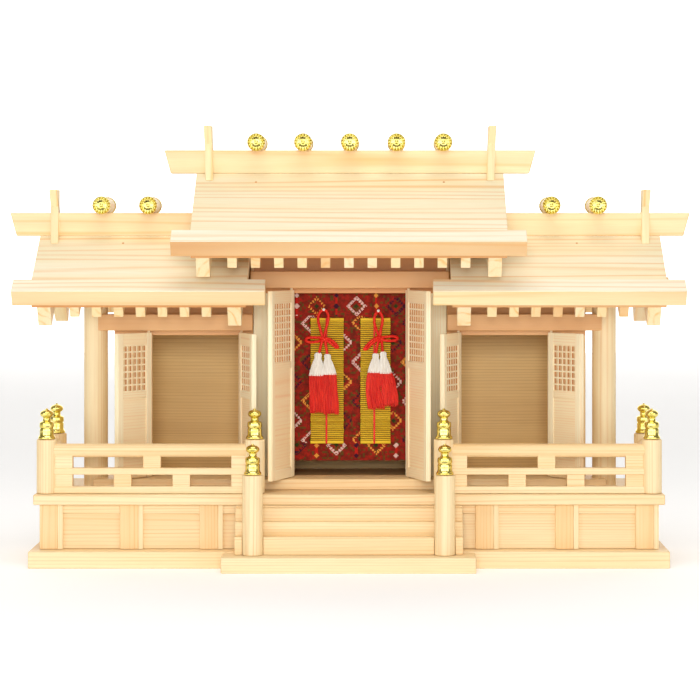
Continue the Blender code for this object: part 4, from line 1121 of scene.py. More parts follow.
def make_roof_slope(word, facing_word, roof, centre, facing, wood, seed):
    """Boards, thick eave bar, soffit, rafters and barges of one slope; facing is -1 in front.

    The back slopes of the side roofs end beside the walls of the centre bay.
    """
    timber = Timber(seed)
    keep_off = CENTRE_WALL_X + SEAT

    def run(outline, middle, half, along, **kinds):
        placed = [(RIDGE_Y + facing * out, z) for out, z in outline]
        left, right = centre + middle - half, centre + middle + half
        if facing > 0 and centre < 0:
            right = min(right, -keep_off)
        elif facing > 0 and centre > 0:
            left = max(left, keep_off)
        if right - left > LAP:
            timber.add(prism(placed, "X", left, right), along, **kinds)

    def bar(top, bottom):
        return [roof.eave(along, lift) for along, lift in (
            (0.0, top), (EAVE_BAR_WIDE, top), (EAVE_BAR_WIDE, bottom), (0.0, bottom))]

    gap = ROOF_HALF_GAP
    uphill = Vector((0.0, -facing * math.cos(roof.slope), math.sin(roof.slope)))
    boards = [(gap, roof.foot), (RIDGE_HALF_THICK, roof.foot), roof.eave(EAVE_BAR_WIDE, 0.0),
              roof.eave(EAVE_BAR_WIDE, -BOARD_THICK), (gap, roof.plane(gap, -BOARD_THICK))]
    bar_top = EAVE_BAR_PROUD - EAVE_BAR_HIGHLIGHT_LAYER
    soffit = roof.band(SOFFIT_BACK, -BOARD_THICK, SOFFIT_UNDER)
    rafter = roof.band(RAFTER_BACK, SOFFIT_UNDER + SEAT, SOFFIT_UNDER - RAFTER_TALL)
    barge = roof.band(RAFTER_BACK, SOFFIT_UNDER + SEAT, SOFFIT_UNDER - BARGE_TALL)
    run(boards, 0.0, roof.board_half, X_AXIS, spread=ROOF_SPREAD)
    run(bar(bar_top, BAR_UNDER), 0.0, roof.bar_half, X_AXIS, edge=FINE_EDGE,
        tone=SIDE_BAR_TONE if centre else MAIN_BAR_TONE, spread=ROOF_SPREAD)
    # The bar's thin top layer is pale: painted top light and a highlight on its upper edge
    run(bar(EAVE_BAR_PROUD, bar_top), 0.0, roof.bar_half, X_AXIS, edge=SLIGHT_EDGE, tone=-0.8,
        spread=ROOF_SPREAD)
    run(soffit, 0.0, roof.board_half - LAP, X_AXIS, edge=FINE_EDGE, tone=SOFFIT_SHADE_TONE)
    if facing < 0:
        put_pegs(timber, roof, centre)
    hand = -1 if centre < 0 else 1
    for x in roof.rafters:
        run(rafter, hand * x, RAFTER_WIDE / 2, uphill, edge=FINE_EDGE, tone=1.0,
            spread=RAFTER_SPREAD)
    for x in roof.barges:
        run(barge, x, BARGE_WIDE / 2, uphill, edge=FINE_EDGE, tone=0.2)
    timber.stand_for(f"roof_{word}_{facing_word}", wood, "roof_wood")


def make_roofs(wood):
    bays = (("left", SIDE_ROOF, -SIDE_ROOF_X), ("centre", MAIN_ROOF, 0.0),
            ("right", SIDE_ROOF, SIDE_ROOF_X))
    for number, (word, roof, centre) in enumerate(bays):
        make_roof_slope(word, "front", roof, centre, -1, wood, 80 + number)
        make_roof_slope(word, "back", roof, centre, 1, wood, 90 + number)


def blade(roof, x, side, rear, top):
    """One of two crossed blades; it rises from one slope over the ridge line to the other side."""
    cross = roof.foot + BLADE_CROSS_UP
    rise = math.tan(BLADE_STEEP)
    half = BLADE_WIDE / 2 / math.sin(BLADE_STEEP)
    lift = SEAT / math.cos(roof.slope)

    def foot(offset):
        fall = math.tan(roof.slope)
        out = (cross - roof.foot - lift - RIDGE_HALF_THICK * fall + offset * rise) / (rise - fall)
        return -out, roof.plane(out, 0.0) + lift

    def head(offset):
        return (top - cross) / rise + offset, top

    outline = [foot(-half), foot(half), head(-half), head(half)]
    placed = [(RIDGE_Y + rear * y, z) for y, z in outline]
    solid = prism(placed, "X", x - BLADE_THICK / 2, x + BLADE_THICK / 2)
    for vert in solid.verts:
        vert.co.x += side * (vert.co.z - roof.foot) * math.tan(BLADE_LEAN)
    return solid


# A log's cap from its back to the middle of its dished face: the share of its radius, and the
# height in millimetres
LOG_CAP_PROFILE = (
    (0.0, 0.6), (0.5, 0.6), (0.88, 0.3), (0.95, 0.0), (1.0, 0.7), (1.0, 2.4), (0.985, 3.1),
    (0.94, 3.6), (0.88, 3.9), (0.82, 4.0), (0.76, 3.9), (0.7, 3.55), (0.6, 3.1), (0.46, 2.65),
    (0.32, 2.4), (0.22, 2.35), (0.17, 2.7), (0.1, 3.05), (0.0, 3.15))
# The notches start at this share of the radius, are full at the next and bite in from the last
NOTCH_START = 0.65
NOTCH_FULL = 0.77
NOTCH_OUTER = 0.85
NOTCH_IN = 0.07
NOTCH_SHARPNESS = 2.5
SIDES_PER_NOTCH = 8
LOG_IN_CAP = 0.3 * MM


def log_cap(x, z, end):
    """Brass cap with a notched rim round a dished face; end is -1 in front."""
    rings = [(share * LOG_CAP_RADIUS, height * MM) for share, height in LOG_CAP_PROFILE]

    def ripple(radius, height, angle):
        notch = (0.5 - 0.5 * math.cos(LOG_CAP_FLUTES * angle)) ** NOTCH_SHARPNESS
        share = radius / LOG_CAP_RADIUS
        if height < LOG_CAP_LONG / 3 or share < NOTCH_START:
            return radius, height
        full = min(1.0, (share - NOTCH_START) / (NOTCH_FULL - NOTCH_START))
        bite = NOTCH_IN * notch if share > NOTCH_OUTER else 0.0
        return radius * (1.0 - bite), height - LOG_CAP_FLUTE_DEEP * notch * full

    turn = Matrix.Rotation(-end * math.pi / 2, 4, "X")
    back = RIDGE_Y + end * (LOG_HALF - LOG_CAP_LONG)
    return lathe(rings, Matrix.Translation((x, back, z)) @ turn, SIDES_PER_NOTCH * LOG_CAP_FLUTES,
                 ripple)


def make_ridges(wood, brass):
    side_long = SIDE_RIDGE_OUTER - SIDE_RIDGE_INNER
    side_logs = [SIDE_RIDGE_INNER + share * side_long for share in SIDE_LOG_SHARES]
    side_blade = SIDE_RIDGE_INNER + SIDE_BLADE_SHARE * side_long
    main_logs = [(step - (MAIN_LOGS - 1) / 2) * MAIN_LOG_PITCH for step in range(MAIN_LOGS)]
    main_blade = MAIN_RIDGE_HALF - MAIN_BLADE_INSET
    lean = RIDGE_LEAN
    ridges = (
        ("centre", MAIN_ROOF, (-MAIN_RIDGE_HALF, MAIN_RIDGE_HALF), (lean, lean), main_logs,
         (-main_blade, main_blade), MAIN_BLADE_TOP),
        ("left", SIDE_ROOF, (-SIDE_RIDGE_OUTER, -SIDE_RIDGE_INNER), (lean, 0.0),
         [-x for x in side_logs], (-side_blade,), SIDE_BLADE_TOP),
        ("right", SIDE_ROOF, (SIDE_RIDGE_INNER, SIDE_RIDGE_OUTER), (0.0, lean), side_logs,
         (side_blade,), SIDE_BLADE_TOP),
    )
    for number, (word, roof, (left, right), leans, logs, blades, top) in enumerate(ridges):
        timber = Timber(100 + number)
        low, high = roof.foot + RIDGE_SEAT, roof.foot + RIDGE_TALL
        outline = [(left, low), (right, low), (right + leans[1], high), (left - leans[0], high)]
        timber.add(prism(outline, "Y", RIDGE_Y - RIDGE_HALF_THICK, RIDGE_Y + RIDGE_HALF_THICK),
                   X_AXIS, edge=BROAD_EDGE, tone=1.1)
        log_z = roof.foot + RIDGE_TALL + LOG_RADIUS - LOG_SUNK
        caps = []
        inner = LOG_HALF - LOG_CAP_LONG + LOG_IN_CAP
        for x in logs:
            timber.add(rod((x, RIDGE_Y - inner, log_z), (x, RIDGE_Y + inner, log_z), LOG_RADIUS),
                       Y_AXIS, tone=0.3)
            caps += [log_cap(x, log_z, -1), log_cap(x, log_z, 1)]
        for x in blades:
            for rear in (-1, 1):
                way = Vector((0.0, rear * math.cos(BLADE_STEEP), math.sin(BLADE_STEEP)))
                timber.add(blade(roof, x, math.copysign(1, x), rear, top), way, tone=1.0)
        node = f"ridge_{word}"
        timber.stand_for(node, wood, "roof_wood")
        finish_piece(f"log_caps_{word}_brass", joined(caps), brass, [node], smooth=50)


# Doors


# The rails of a leaf lie this far under the faces of its stiles
LEAF_RAIL_SHY = 0.15 * MM
# Tone of the lattice bars' sides: painted shade inside the cells between the bars
LATTICE_CELL_SHADE_TONE = 3.0


def lattice_bar(timber, x, z, thick, along):
    """A bar whose sides take a dark heartwood tone as painted shade in the lattice's deep cells;
    its front and back are paler.
    """
    inner = thick - LATTICE_SKIN
    timber.board(x, (-inner, inner), z, along=along, edge=0.0, tone=LATTICE_CELL_SHADE_TONE)
    for side in (-1, 1):
        timber.board(x, (side * inner, side * thick), z, along=along, edge=0.0, tone=-0.3)


def make_leaf(name, hinge_x, handed, wide, beam_low, cells, opened, wood, seed):
    """A framed leaf with a lattice of lapped bars over a thin panel, on pins.

    It is built shut, with the pins on its own Z axis, and then turned open.
    """
    timber = Timber(seed)
    low, high = SILL_TOP + LEAF_BOTTOM_GAP, beam_low - LEAF_TOP_GAP
    half = LEAF_THICK / 2
    start = -handed * PIVOT_INSET
    end = start + handed * wide
    inner = sorted((start + handed * STILE, end - handed * STILE))
    let_in = (inner[0] - SEAT, inner[1] + SEAT)
    columns, rows = cells
    lattice_high = high - LEAF_TOP_RAIL
    lattice_low = lattice_high - rows * LATTICE_PITCH
    panel_high = lattice_low - LEAF_MIDDLE_RAIL
    rail_half = half - LEAF_RAIL_SHY
    for x in ((start, start + handed * STILE), (end - handed * STILE, end)):
        timber.board(x, (-half, half), (low, high), along=Z_AXIS, edge=LEAF_EDGE, tone=-0.5)
    for z in ((lattice_high, high), (panel_high, lattice_low), (low, low + LEAF_BOTTOM_RAIL)):
        timber.board(inner, (-rail_half, rail_half), z, along=X_AXIS, edge=LEAF_EDGE, tone=0.1)
    bar = LATTICE_BAR / 2
    tall = (lattice_low - SEAT, lattice_high + SEAT)
    for x in evenly(*inner, columns + 1):
        span = (max(x - bar, let_in[0]), min(x + bar, let_in[1]))
        lattice_bar(timber, span, tall, LATTICE_THICK / 2, Z_AXIS)
    for z in evenly(lattice_low, lattice_high, rows + 1):
        span = (max(z - bar, tall[0]), min(z + bar, tall[1]))
        lattice_bar(timber, let_in, span, LATTICE_THICK / 2 - LATTICE_STEP, X_AXIS)
    panel_half = LEAF_PANEL_THICK / 2
    panel_tall = (low + LEAF_BOTTOM_RAIL - SEAT, panel_high + SEAT)
    timber.board(let_in, (-panel_half, panel_half), panel_tall, along=X_AXIS, edge=0.0, tone=0.3)
    for bottom, top in ((high - LAP, beam_low + PIN_DEEP), (SILL_TOP - PIN_DEEP, low + LAP)):
        timber.add(rod((0.0, 0.0, bottom), (0.0, 0.0, top), PIN_RADIUS, PIN_SIDES), Z_AXIS,
                   edge=FINE_EDGE)
    place = (Matrix.Translation((hinge_x, WALL_Y - PIVOT_AHEAD, 0.0))
             @ Matrix.Rotation(-handed * math.radians(opened), 4, "Z"))
    timber.make(f"{name}_wood", wood, "door_wood", [name], body=f"{name}_leaf", place=place)


def make_doors(wood):
    """The six leaves, each with the angle from shut that it stands open in the photograph."""
    outer, inner = SIDE_PIVOTS
    side = ((outer - inner) / 2 + PIVOT_INSET - LEAF_GAP, SIDE_BEAM[0], SIDE_LATTICE)
    centre = (CENTRE_PIVOT + PIVOT_INSET - LEAF_GAP, CENTRE_BEAM[0], CENTRE_LATTICE)
    leaves = (
        ("left_outer", -outer, 1, side, 128.5),
        ("left_inner", -inner, -1, side, 108.5),
        ("centre_left", -CENTRE_PIVOT, 1, centre, 109.0),
        ("centre_right", CENTRE_PIVOT, -1, centre, 109.0),
        ("right_inner", inner, 1, side, 112.0),
        ("right_outer", outer, -1, side, 127.0),
    )
    for seed, (word, hinge_x, handed, sizes, opened) in enumerate(leaves, 120):
        make_leaf(f"door_{word}", hinge_x, handed, *sizes, opened, wood, seed)


# Hangings of the centre bay


CURTAIN_HALF = 52.0 * MM
CURTAIN_HANGS = (SILL_TOP + 13.7 * MM, CENTRE_OPENING_TOP + 6.4 * MM)
CURTAIN_BEHIND = FRONT_WALL_THICK + SEAT
CURTAIN_ROOM = 2.0 * MM
CLOTH_THICK = 0.5 * MM
CLOTH_COLUMNS = 90
CLOTH_ROWS = 66
# Two runs of folds: share of the swing, spacing, start, and how far they drift toward the hem
FOLDS = ((0.6, 8.6 * MM, 0.8, 0.0), (0.4, 3.7 * MM, 2.1, 1.0))
SWING_AT_TOP = 0.3
BLIND_THICK = 1.6 * MM
BLIND_HANGS = (CURTAIN_HANGS[0] + 15.0 * MM, CENTRE_OPENING_TOP - 22.0 * MM)
BLINDS = (("left", -35.0 * MM, -5.6 * MM, -20.9 * MM), ("right", 9.0 * MM, 35.8 * MM, 21.4 * MM))
SLAT_GAP = 0.5 * MM
SLAT_PITCH = 1.75 * MM
SLAT_BACK = 0.4 * MM
SLAT_CROWN = 0.8 * MM
SLAT_LEAST = 0.2 * MM
SLAT_RAGGED = 0.35 * MM
SLAT_FACETS = 6
SLAT_SHADOW_TONE = 2.2
BATTEN = 2.6 * MM
BATTEN_SUNK = 0.4
TAPE_WIDE = 1.7 * MM
TAPE_SUNK = 0.15 * MM
TASSEL_ROOM = 5.4 * MM
CORD_RADIUS = 1.2 * MM
CORD_SIDES = 14
CORD_PLIES = 3
PLY_SWELL = 0.13
PLY_TURN = 0.55 * MM
STRAND_RADIUS = 0.34 * MM
STRAND_SIDES = 5
STRANDS = 46


def make_curtain(brocade):
    """Brocade in soft upright waves that deepen toward its lower edge, hung behind the opening."""
    low, high = CURTAIN_HANGS
    columns, rows = CLOTH_COLUMNS, CLOTH_ROWS
    middle = behind(CURTAIN_BEHIND + CURTAIN_ROOM / 2)
    swing = (CURTAIN_ROOM - CLOTH_THICK) / 2

    def wave(x, fallen):
        full = sum(share * math.sin(x / spacing + start + drift * fallen)
                   for share, spacing, start, drift in FOLDS)
        return swing * (SWING_AT_TOP + (1.0 - SWING_AT_TOP) * fallen) * full

    places, weave = [], []
    for face in (-1, 1):
        for row in range(rows + 1):
            fallen = row / rows
            z = high + (low - high) * fallen
            for x in evenly(-CURTAIN_HALF, CURTAIN_HALF, columns + 1):
                places.append((x, middle + wave(x, fallen) + face * CLOTH_THICK / 2, z))
                weave += [x - WEAVE_START[0], z - WEAVE_START[1], 0.0]
    wide, back = columns + 1, (columns + 1) * (rows + 1)
    faces = []
    for row in range(rows):
        for here in range(row * wide, row * wide + columns):
            cell = (here, here + wide, here + wide + 1, here + 1)
            faces += [cell, tuple(back + corner for corner in reversed(cell))]
    rim = list(range(columns + 1))
    rim += [row * wide + columns for row in range(1, rows + 1)]
    rim += [rows * wide + column for column in range(columns - 1, -1, -1)]
    rim += [row * wide for row in range(rows - 1, 0, -1)]
    faces += [(first, second, second + back, first + back)
              for first, second in zip(rim, rim[1:] + rim[:1])]
    mesh = bpy.data.meshes.new("curtain_cloth")
    mesh.from_pydata(places, [], faces)
    mesh.attributes.new("weave", "FLOAT_VECTOR", "POINT").data.foreach_set("vector", weave)
    cloth = finish_piece("curtain_cloth", mesh, brocade, ["curtain"], smooth=60)


def make_blinds(bamboo, red):
    """Bamboo slats from batten to batten over a ground in painted shadow, with a red tape down the
    front.
    """
    low, high = BLIND_HANGS
    back = behind(CURTAIN_BEHIND - SEAT)
    front = back - BLIND_THICK
    slats = round((high - low - 2 * BATTEN) / SLAT_PITCH)
    pitch = (high - low - 2 * BATTEN) / slats
    edges = [low] + [low + BATTEN + pitch * step for step in range(slats + 1)] + [high]
    for number, (word, left, right, tape) in enumerate(BLINDS):
        timber = Timber(140 + number)
        # A backing strip in painted shadow, seen through the gaps between the slats
        ground = block((left + SLAT_BACK, right - SLAT_BACK), (back - SLAT_BACK, back),
                       (low + SLAT_BACK, high - SLAT_BACK))
        timber.add(ground, X_AXIS, edge=0.0, tone=SLAT_SHADOW_TONE, spread=0.0)
        for bottom, top in zip(edges, edges[1:]):
            batten = bottom == low or top == high
            proud = front + SLAT_BACK * (BATTEN_SUNK if batten else 1.0)
            middle = (bottom + top) / 2
            half = (top - bottom) / 2 - (0.0 if batten else SLAT_GAP / 2)
            crown = min(SLAT_CROWN, back - proud - SLAT_LEAST)
            outline = [(back, middle - half), (back, middle + half)]
            for turn in evenly(math.pi / 2, -math.pi / 2, SLAT_FACETS + 1):
                outline.append((proud + crown * (1 - math.cos(turn)),
                                middle + half * math.sin(turn)))
            ends = [timber.draw.uniform(0.0, SLAT_RAGGED) for _side in (0, 1)]
            timber.add(prism(outline, "X", left + ends[0], right - ends[1]), X_AXIS, edge=0.0,
                       tone=-0.7 if batten else -0.1, spread=0.35)
        timber.make(f"blind_{word}_slats", bamboo, "bamboo", [f"blind_{word}"], smooth=50)
        timber = Timber(142 + number)
        timber.board((tape - TAPE_WIDE / 2, tape + TAPE_WIDE / 2),
                     (front + TAPE_SUNK, front + SLAT_BACK), (low, high), along=Z_AXIS,
                     edge=TAPE_EDGE)
        timber.make(f"blind_{word}_tape", red, "silk", [f"blind_{word}"])


def smooth_line(points, steps):
    """A smooth line through the points, with some steps between each two."""
    line = []
    padded = [points[0], *points, points[-1]]
    for before, start, end, after in zip(padded, padded[1:], padded[2:], padded[3:]):
        for step in range(steps):
            share = step / steps
            bend = (2 * start + (end - before) * share
                    + (2 * before - 5 * start + 4 * end - after) * share ** 2
                    + (3 * start - before - 3 * end + after) * share ** 3)
            line.append(bend / 2)
    return line + [points[-1]]


def tube(line, radius, sides, plies=0):
    """A closed tube along a line; plies twist round each other along a cord."""
    solid = bmesh.new()
    side = (line[1] - line[0]).orthogonal().normalized()
    rows = []
    gone = 0.0
    for number, point in enumerate(line):
        before, after = line[max(number - 1, 0)], line[min(number + 1, len(line) - 1)]
        gone += (point - before).length
        way = (after - before).normalized()
        side = (side - way * side.dot(way)).normalized()
        other = way.cross(side)
        reach = radius * (0.6 if number in (0, len(line) - 1) else 1.0)
        row = []
        for step in range(sides):
            angle = 2 * math.pi * step / sides
            swell = 1.0 + (PLY_SWELL * math.cos(plies * angle - gone / PLY_TURN) if plies else 0.0)
            out = side * math.cos(angle) + other * math.sin(angle)
            row.append(solid.verts.new(point + out * reach * swell))
        rows.append(row)
    return skin(solid, rows)


def loft(rings, sides, folds=0, depth=0.0):
    """A closed solid through level ellipses (centre, half width, half depth), gathered in folds."""
    solid = bmesh.new()
    rows = []
    for centre, wide, deep in rings:
        row = []
        for step in range(sides):
            angle = 2 * math.pi * step / sides
            pinch = 1.0 - depth * (0.5 + 0.5 * math.cos(folds * angle))
            row.append(solid.verts.new(centre + Vector((wide * pinch * math.cos(angle),
                                                        deep * pinch * math.sin(angle), 0.0))))
        rows.append(row)
    return skin(solid, rows)


HEAD_PROFILE = ((0.0, 0.22), (0.02, 0.38), (0.08, 0.5), (0.15, 0.5), (0.21, 0.46), (0.28, 0.5),
                (0.4, 0.66), (0.58, 0.82), (0.78, 0.94), (0.94, 1.0), (1.0, 1.0), (0.985, 0.9))


HEAD_DEEP = 2.3 * MM
HEAD_SIDES = 126
HEAD_FOLDS = 21
CORE_SIDES = 24
CORE_RINGS = 9
STRAND_PARTS = 8
FOLD_DEPTH = 0.17
# How far the core of a fringe, and the roots and tips of its strands, keep inside its outline,
# across and in depth
CORE_IN = (0.9 * MM, 1.0 * MM)
ROOT_IN = (0.5 * MM, 0.45 * MM)
TIP_IN = 0.35 * MM
INNER_LAYER_IN = 0.55 * MM
ROOT_UP = 1.2 * MM
# How unevenly the strands end and hang
STRAND_OUT = 0.9 * MM
STRAND_UP = 1.3 * MM
STRAND_SWAY = 0.6 * MM


def head_and_fringe(white, red, top, brim, brim_half, hem, hem_half, bow):
    """One small tassel: a head bound over the cord's end, and a fringe of loose strands.

    top, brim and hem are the middles of the head's top, its lower edge and the fringe's lower
    edge. bow is how far the strands bulge sideways half way down.
    """
    rings = []
    for share, wide in HEAD_PROFILE:
        centre = top.lerp(brim, share)
        centre.x = top.x + (brim.x - top.x) * share ** 1.5
        rings.append((centre, brim_half * wide, HEAD_DEEP * (0.45 + 0.55 * wide)))
    head = loft(rings, HEAD_SIDES, folds=HEAD_FOLDS, depth=FOLD_DEPTH)
    white.add(head, brim - top, edge=0.0, spread=0.1)
    core = []
    for share in evenly(0.0, 1.0, CORE_RINGS):
        centre = brim.lerp(hem, share * 0.94) + Vector((bow * math.sin(math.pi * share), 0.0, 0.0))
        half = brim_half + (hem_half - brim_half) * share
        core.append((centre + Z_AXIS * LAP, half - CORE_IN[0], HEAD_DEEP - CORE_IN[1]))
    red.add(loft(core, CORE_SIDES), hem - brim, edge=0.0, tone=0.6)
    draw = red.draw
    for layer, depth in ((0, 0.0), (1, INNER_LAYER_IN)):
        for step in range(STRANDS):
            angle = 2 * math.pi * (step + 0.5 * layer + draw.uniform(-0.2, 0.2)) / STRANDS
            out, deep = math.cos(angle), math.sin(angle)
            start = brim + Vector((out * (brim_half - ROOT_IN[0] - depth),
                                   deep * (HEAD_DEEP - ROOT_IN[1] - depth), ROOT_UP))
            loose = draw.uniform(-STRAND_OUT, STRAND_OUT)
            end = hem + Vector((out * (hem_half - TIP_IN - depth) + loose,
                                deep * (HEAD_DEEP - TIP_IN - depth),
                                draw.uniform(-STRAND_OUT, STRAND_UP)))
            sway = draw.uniform(-STRAND_SWAY, STRAND_SWAY)
            line = []
            for share in evenly(0.0, 1.0, STRAND_PARTS):
                spot = start.lerp(end, share)
                spot.x += bow * math.sin(math.pi * share) + sway * math.sin(2 * math.pi * share)
                line.append(spot)
            red.add(tube(line, STRAND_RADIUS, STRAND_SIDES), end - start, edge=0.0, spread=0.75)


# Round head of the pin, and the two turns of cord round the knot: how far up, and how they tilt
PIN_HEAD = ((0.0, -1.4), (0.35, -1.4), (0.35, 0.0), (0.95, 0.1), (1.25, 0.45), (1.2, 0.8),
            (0.85, 1.1), (0.0, 1.25))
PIN_HEAD_SIDES = 24
KNOT_TURNS = ((0.9, 0.5), (-0.8, -0.6))
KNOT_HALF = 2.5
KNOT_DEEP = 1.45
KNOT_DOWN = 0.8
KNOT_POINTS = 17
KNOT_STEPS = 2
CORD_STEPS = 7


def make_tassel(word, seed, pin, loop, bows, falls, heads, white_silk, red_silk):
    """Knotted cord over a pin, with two bows and two small tassels; points count from the pin.

    Every line is a list of (across, down, forward) in millimetres.
    """
    def spot(across, down, forward=0.0):
        return pin + Vector((across, -forward, -down)) * MM

    red, white = Timber(seed), Timber(seed + 1)

    def cord(line, tone):
        red.add(tube(line, CORD_RADIUS, CORD_SIDES, plies=CORD_PLIES), Z_AXIS, edge=0.0, tone=tone,
                spread=0.1)

    for points in (loop, *bows, *falls):
        cord(smooth_line([spot(*point) for point in points], CORD_STEPS), 0.1)
    across, down = loop[0]
    for lift, tilt in KNOT_TURNS:
        cord(smooth_line([spot(across + KNOT_HALF * math.cos(turn),
                               down + KNOT_DOWN - lift + tilt * math.cos(turn),
                               KNOT_DEEP * math.sin(turn))
                          for turn in evenly(0.0, 2 * math.pi, KNOT_POINTS)], KNOT_STEPS), 0.0)
    for top, brim, brim_half, hem, hem_half, bow in heads:
        head_and_fringe(white, red, spot(*top), spot(*brim), brim_half * MM, spot(*hem),
                        hem_half * MM, bow * MM)
    toward = Matrix.Translation(spot(0.0, 0.0, 1.3)) @ Matrix.Rotation(math.pi / 2, 4, "X")
    white.add(lathe(in_millimetres(PIN_HEAD), toward, PIN_HEAD_SIDES), Y_AXIS, edge=0.0, tone=-0.5)
    for timber, colour, silk in ((red, "red", red_silk), (white, "white", white_silk)):
        timber.make(f"tassel_{word}_{colour}", silk, "silk", [f"tassel_{word}"], smooth=60)


def make_hangings(brocade, bamboo, white_silk, red_silk):
    """The curtain, the blinds before it and the tassels before them, laid over the photograph."""
    make_curtain(brocade)
    make_blinds(bamboo, red_silk)
    middle = behind(CURTAIN_BEHIND - 2 * SEAT) - BLIND_THICK - TASSEL_ROOM / 2
    silks = {"white_silk": white_silk, "red_silk": red_silk}
    make_tassel(
        "left", 150, Vector((-23.2 * MM, middle, 219.2 * MM)),
        loop=[(-0.7, 25.3), (-2.0, 21.0), (-3.8, 14.8), (-5.0, 9.2, -0.3), (-4.4, 4.4, -0.6),
              (-2.4, 1.4, -1.0), (0.0, 0.6, -1.3), (2.2, 1.4, -1.0), (3.9, 4.8, -0.6),
              (3.9, 9.5, -0.3), (2.5, 14.8), (1.0, 20.5), (0.3, 25.3)],
        bows=[[(-0.5, 25.0, 0.4), (-5.0, 24.7, 0.5), (-11.0, 24.6, 0.3), (-14.4, 25.2),
               (-15.6, 26.9, -0.3), (-14.2, 28.6, -0.4), (-10.5, 28.9), (-5.0, 28.1, 0.3),
               (-0.5, 26.6, 0.3)],
              [(0.5, 25.4, 0.4), (4.0, 25.9, 0.6), (8.0, 27.9, 0.5), (11.1, 31.0, 0.2),
               (12.3, 33.4, -0.3), (10.4, 33.2, -0.6), (7.3, 30.6, -0.5), (4.0, 28.2, -0.2),
               (0.5, 27.0)]],
        falls=[[(-0.8, 26.5), (-2.4, 31.0, 0.3), (-3.5, 36.0, 0.2), (-4.6, 40.0)],
               [(0.6, 26.5), (1.8, 31.5, -0.3), (2.7, 36.5, -0.2), (3.3, 41.5)]],
        heads=[((-5.0, 38.0), (-6.6, 58.6), 6.5, (-5.5, 91.0), 6.5, -0.2),
               ((3.2, 39.2), (5.2, 57.6), 6.1, (6.7, 92.0), 6.7, 0.2)],
        **silks)
    make_tassel(
        "right", 160, Vector((25.0 * MM, middle, 218.1 * MM)),
        loop=[(1.2, 23.8), (-0.1, 20.7), (-1.9, 16.3), (-3.4, 11.0), (-3.4, 5.9, -0.5),
              (-1.9, 2.2, -1.0), (0.0, 0.8, -1.3), (1.9, 2.0, -1.0), (3.5, 5.6, -0.5),
              (3.4, 11.0), (2.3, 16.3), (1.7, 20.7), (1.4, 23.8)],
        bows=[[(1.5, 23.6, 0.4), (6.7, 23.0, 0.5), (12.0, 22.5, 0.3), (15.4, 23.0),
               (16.7, 24.5, -0.3), (15.2, 26.1, -0.4), (10.2, 26.6), (4.9, 26.0, 0.3),
               (1.5, 25.4, 0.3)],
              [(1.0, 24.2, 0.4), (-3.4, 24.7, 0.6), (-7.4, 27.8, 0.5), (-10.7, 31.3, 0.2),
               (-12.4, 34.0, -0.3), (-10.2, 33.6, -0.6), (-7.0, 30.3, -0.5), (-3.0, 26.9, -0.2),
               (1.0, 25.6)]],
        falls=[[(0.8, 25.5), (-0.4, 28.9, 0.3), (-1.5, 34.0, 0.2), (-2.2, 39.0)],
               [(1.8, 25.5), (3.2, 28.9, -0.3), (3.5, 33.5, -0.2), (3.9, 38.0)]],
        heads=[((-2.3, 37.5), (-3.6, 54.8), 5.9, (-1.4, 86.6), 7.4, -1.9),
               ((4.2, 36.0), (6.3, 55.6), 5.9, (9.6, 84.0), 7.6, 1.4)],
        **silks)


# Floor, backdrop, lights and camera


CAMERA_LENS = 133.7
SENSOR_WIDE = 36.0
CAMERA_PLACE = (28.2 * MM, WALL_Y - 2293 * MM, 284.8 * MM)
CAMERA_SHIFT = (-0.0457, -0.164)


def make_camera():
    data = bpy.data.cameras.new("camera")
    data.lens = CAMERA_LENS
    data.sensor_width = SENSOR_WIDE
    data.shift_x, data.shift_y = CAMERA_SHIFT
    data.clip_start = 0.1
    data.clip_end = 60.0
    camera = put_in_scene("camera", data)
    camera.location = CAMERA_PLACE
    camera.rotation_euler = (math.pi / 2, 0.0, 0.0)
    bpy.context.scene.camera = camera


# The floor and the wall behind it, with their glow
FLOOR_REACH = 6.0
WALL_BACK = 4.0
BACKDROPS = (
    ("floor", ((-FLOOR_REACH, -FLOOR_REACH, 0.0), (FLOOR_REACH, -FLOOR_REACH, 0.0),
               (FLOOR_REACH, WALL_BACK, 0.0), (-FLOOR_REACH, WALL_BACK, 0.0)), 0.2),
    ("wall", ((-FLOOR_REACH, WALL_BACK, 0.0), (FLOOR_REACH, WALL_BACK, 0.0),
              (FLOOR_REACH, WALL_BACK, FLOOR_REACH), (-FLOOR_REACH, WALL_BACK, FLOOR_REACH)), 1.0),
)
# Cards that the brass reflects: half the width, the lower and upper edge as (y, z), and the glow.
# Two dark ones draw the lines across the caps, and a bright one fills their fronts.
CARDS = (
    (0.05, (-1.2, 0.0), (-1.2, 0.25), 0.0),
    (0.35, (-0.95, 0.004), (-0.35, 0.004), 0.0),
    (2.0, (-1.6, 0.02), (-1.6, 0.7), 2.3),
)


def stage_quad(name, corners, material):
    """A flat part of the stage, which isn't a piece of the shrine."""
    mesh = bpy.data.meshes.new(name)
    mesh.from_pydata(corners, [], [(0, 1, 2, 3)])
    mesh.materials.append(material)
    item = put_in_scene(name, mesh)
    return item


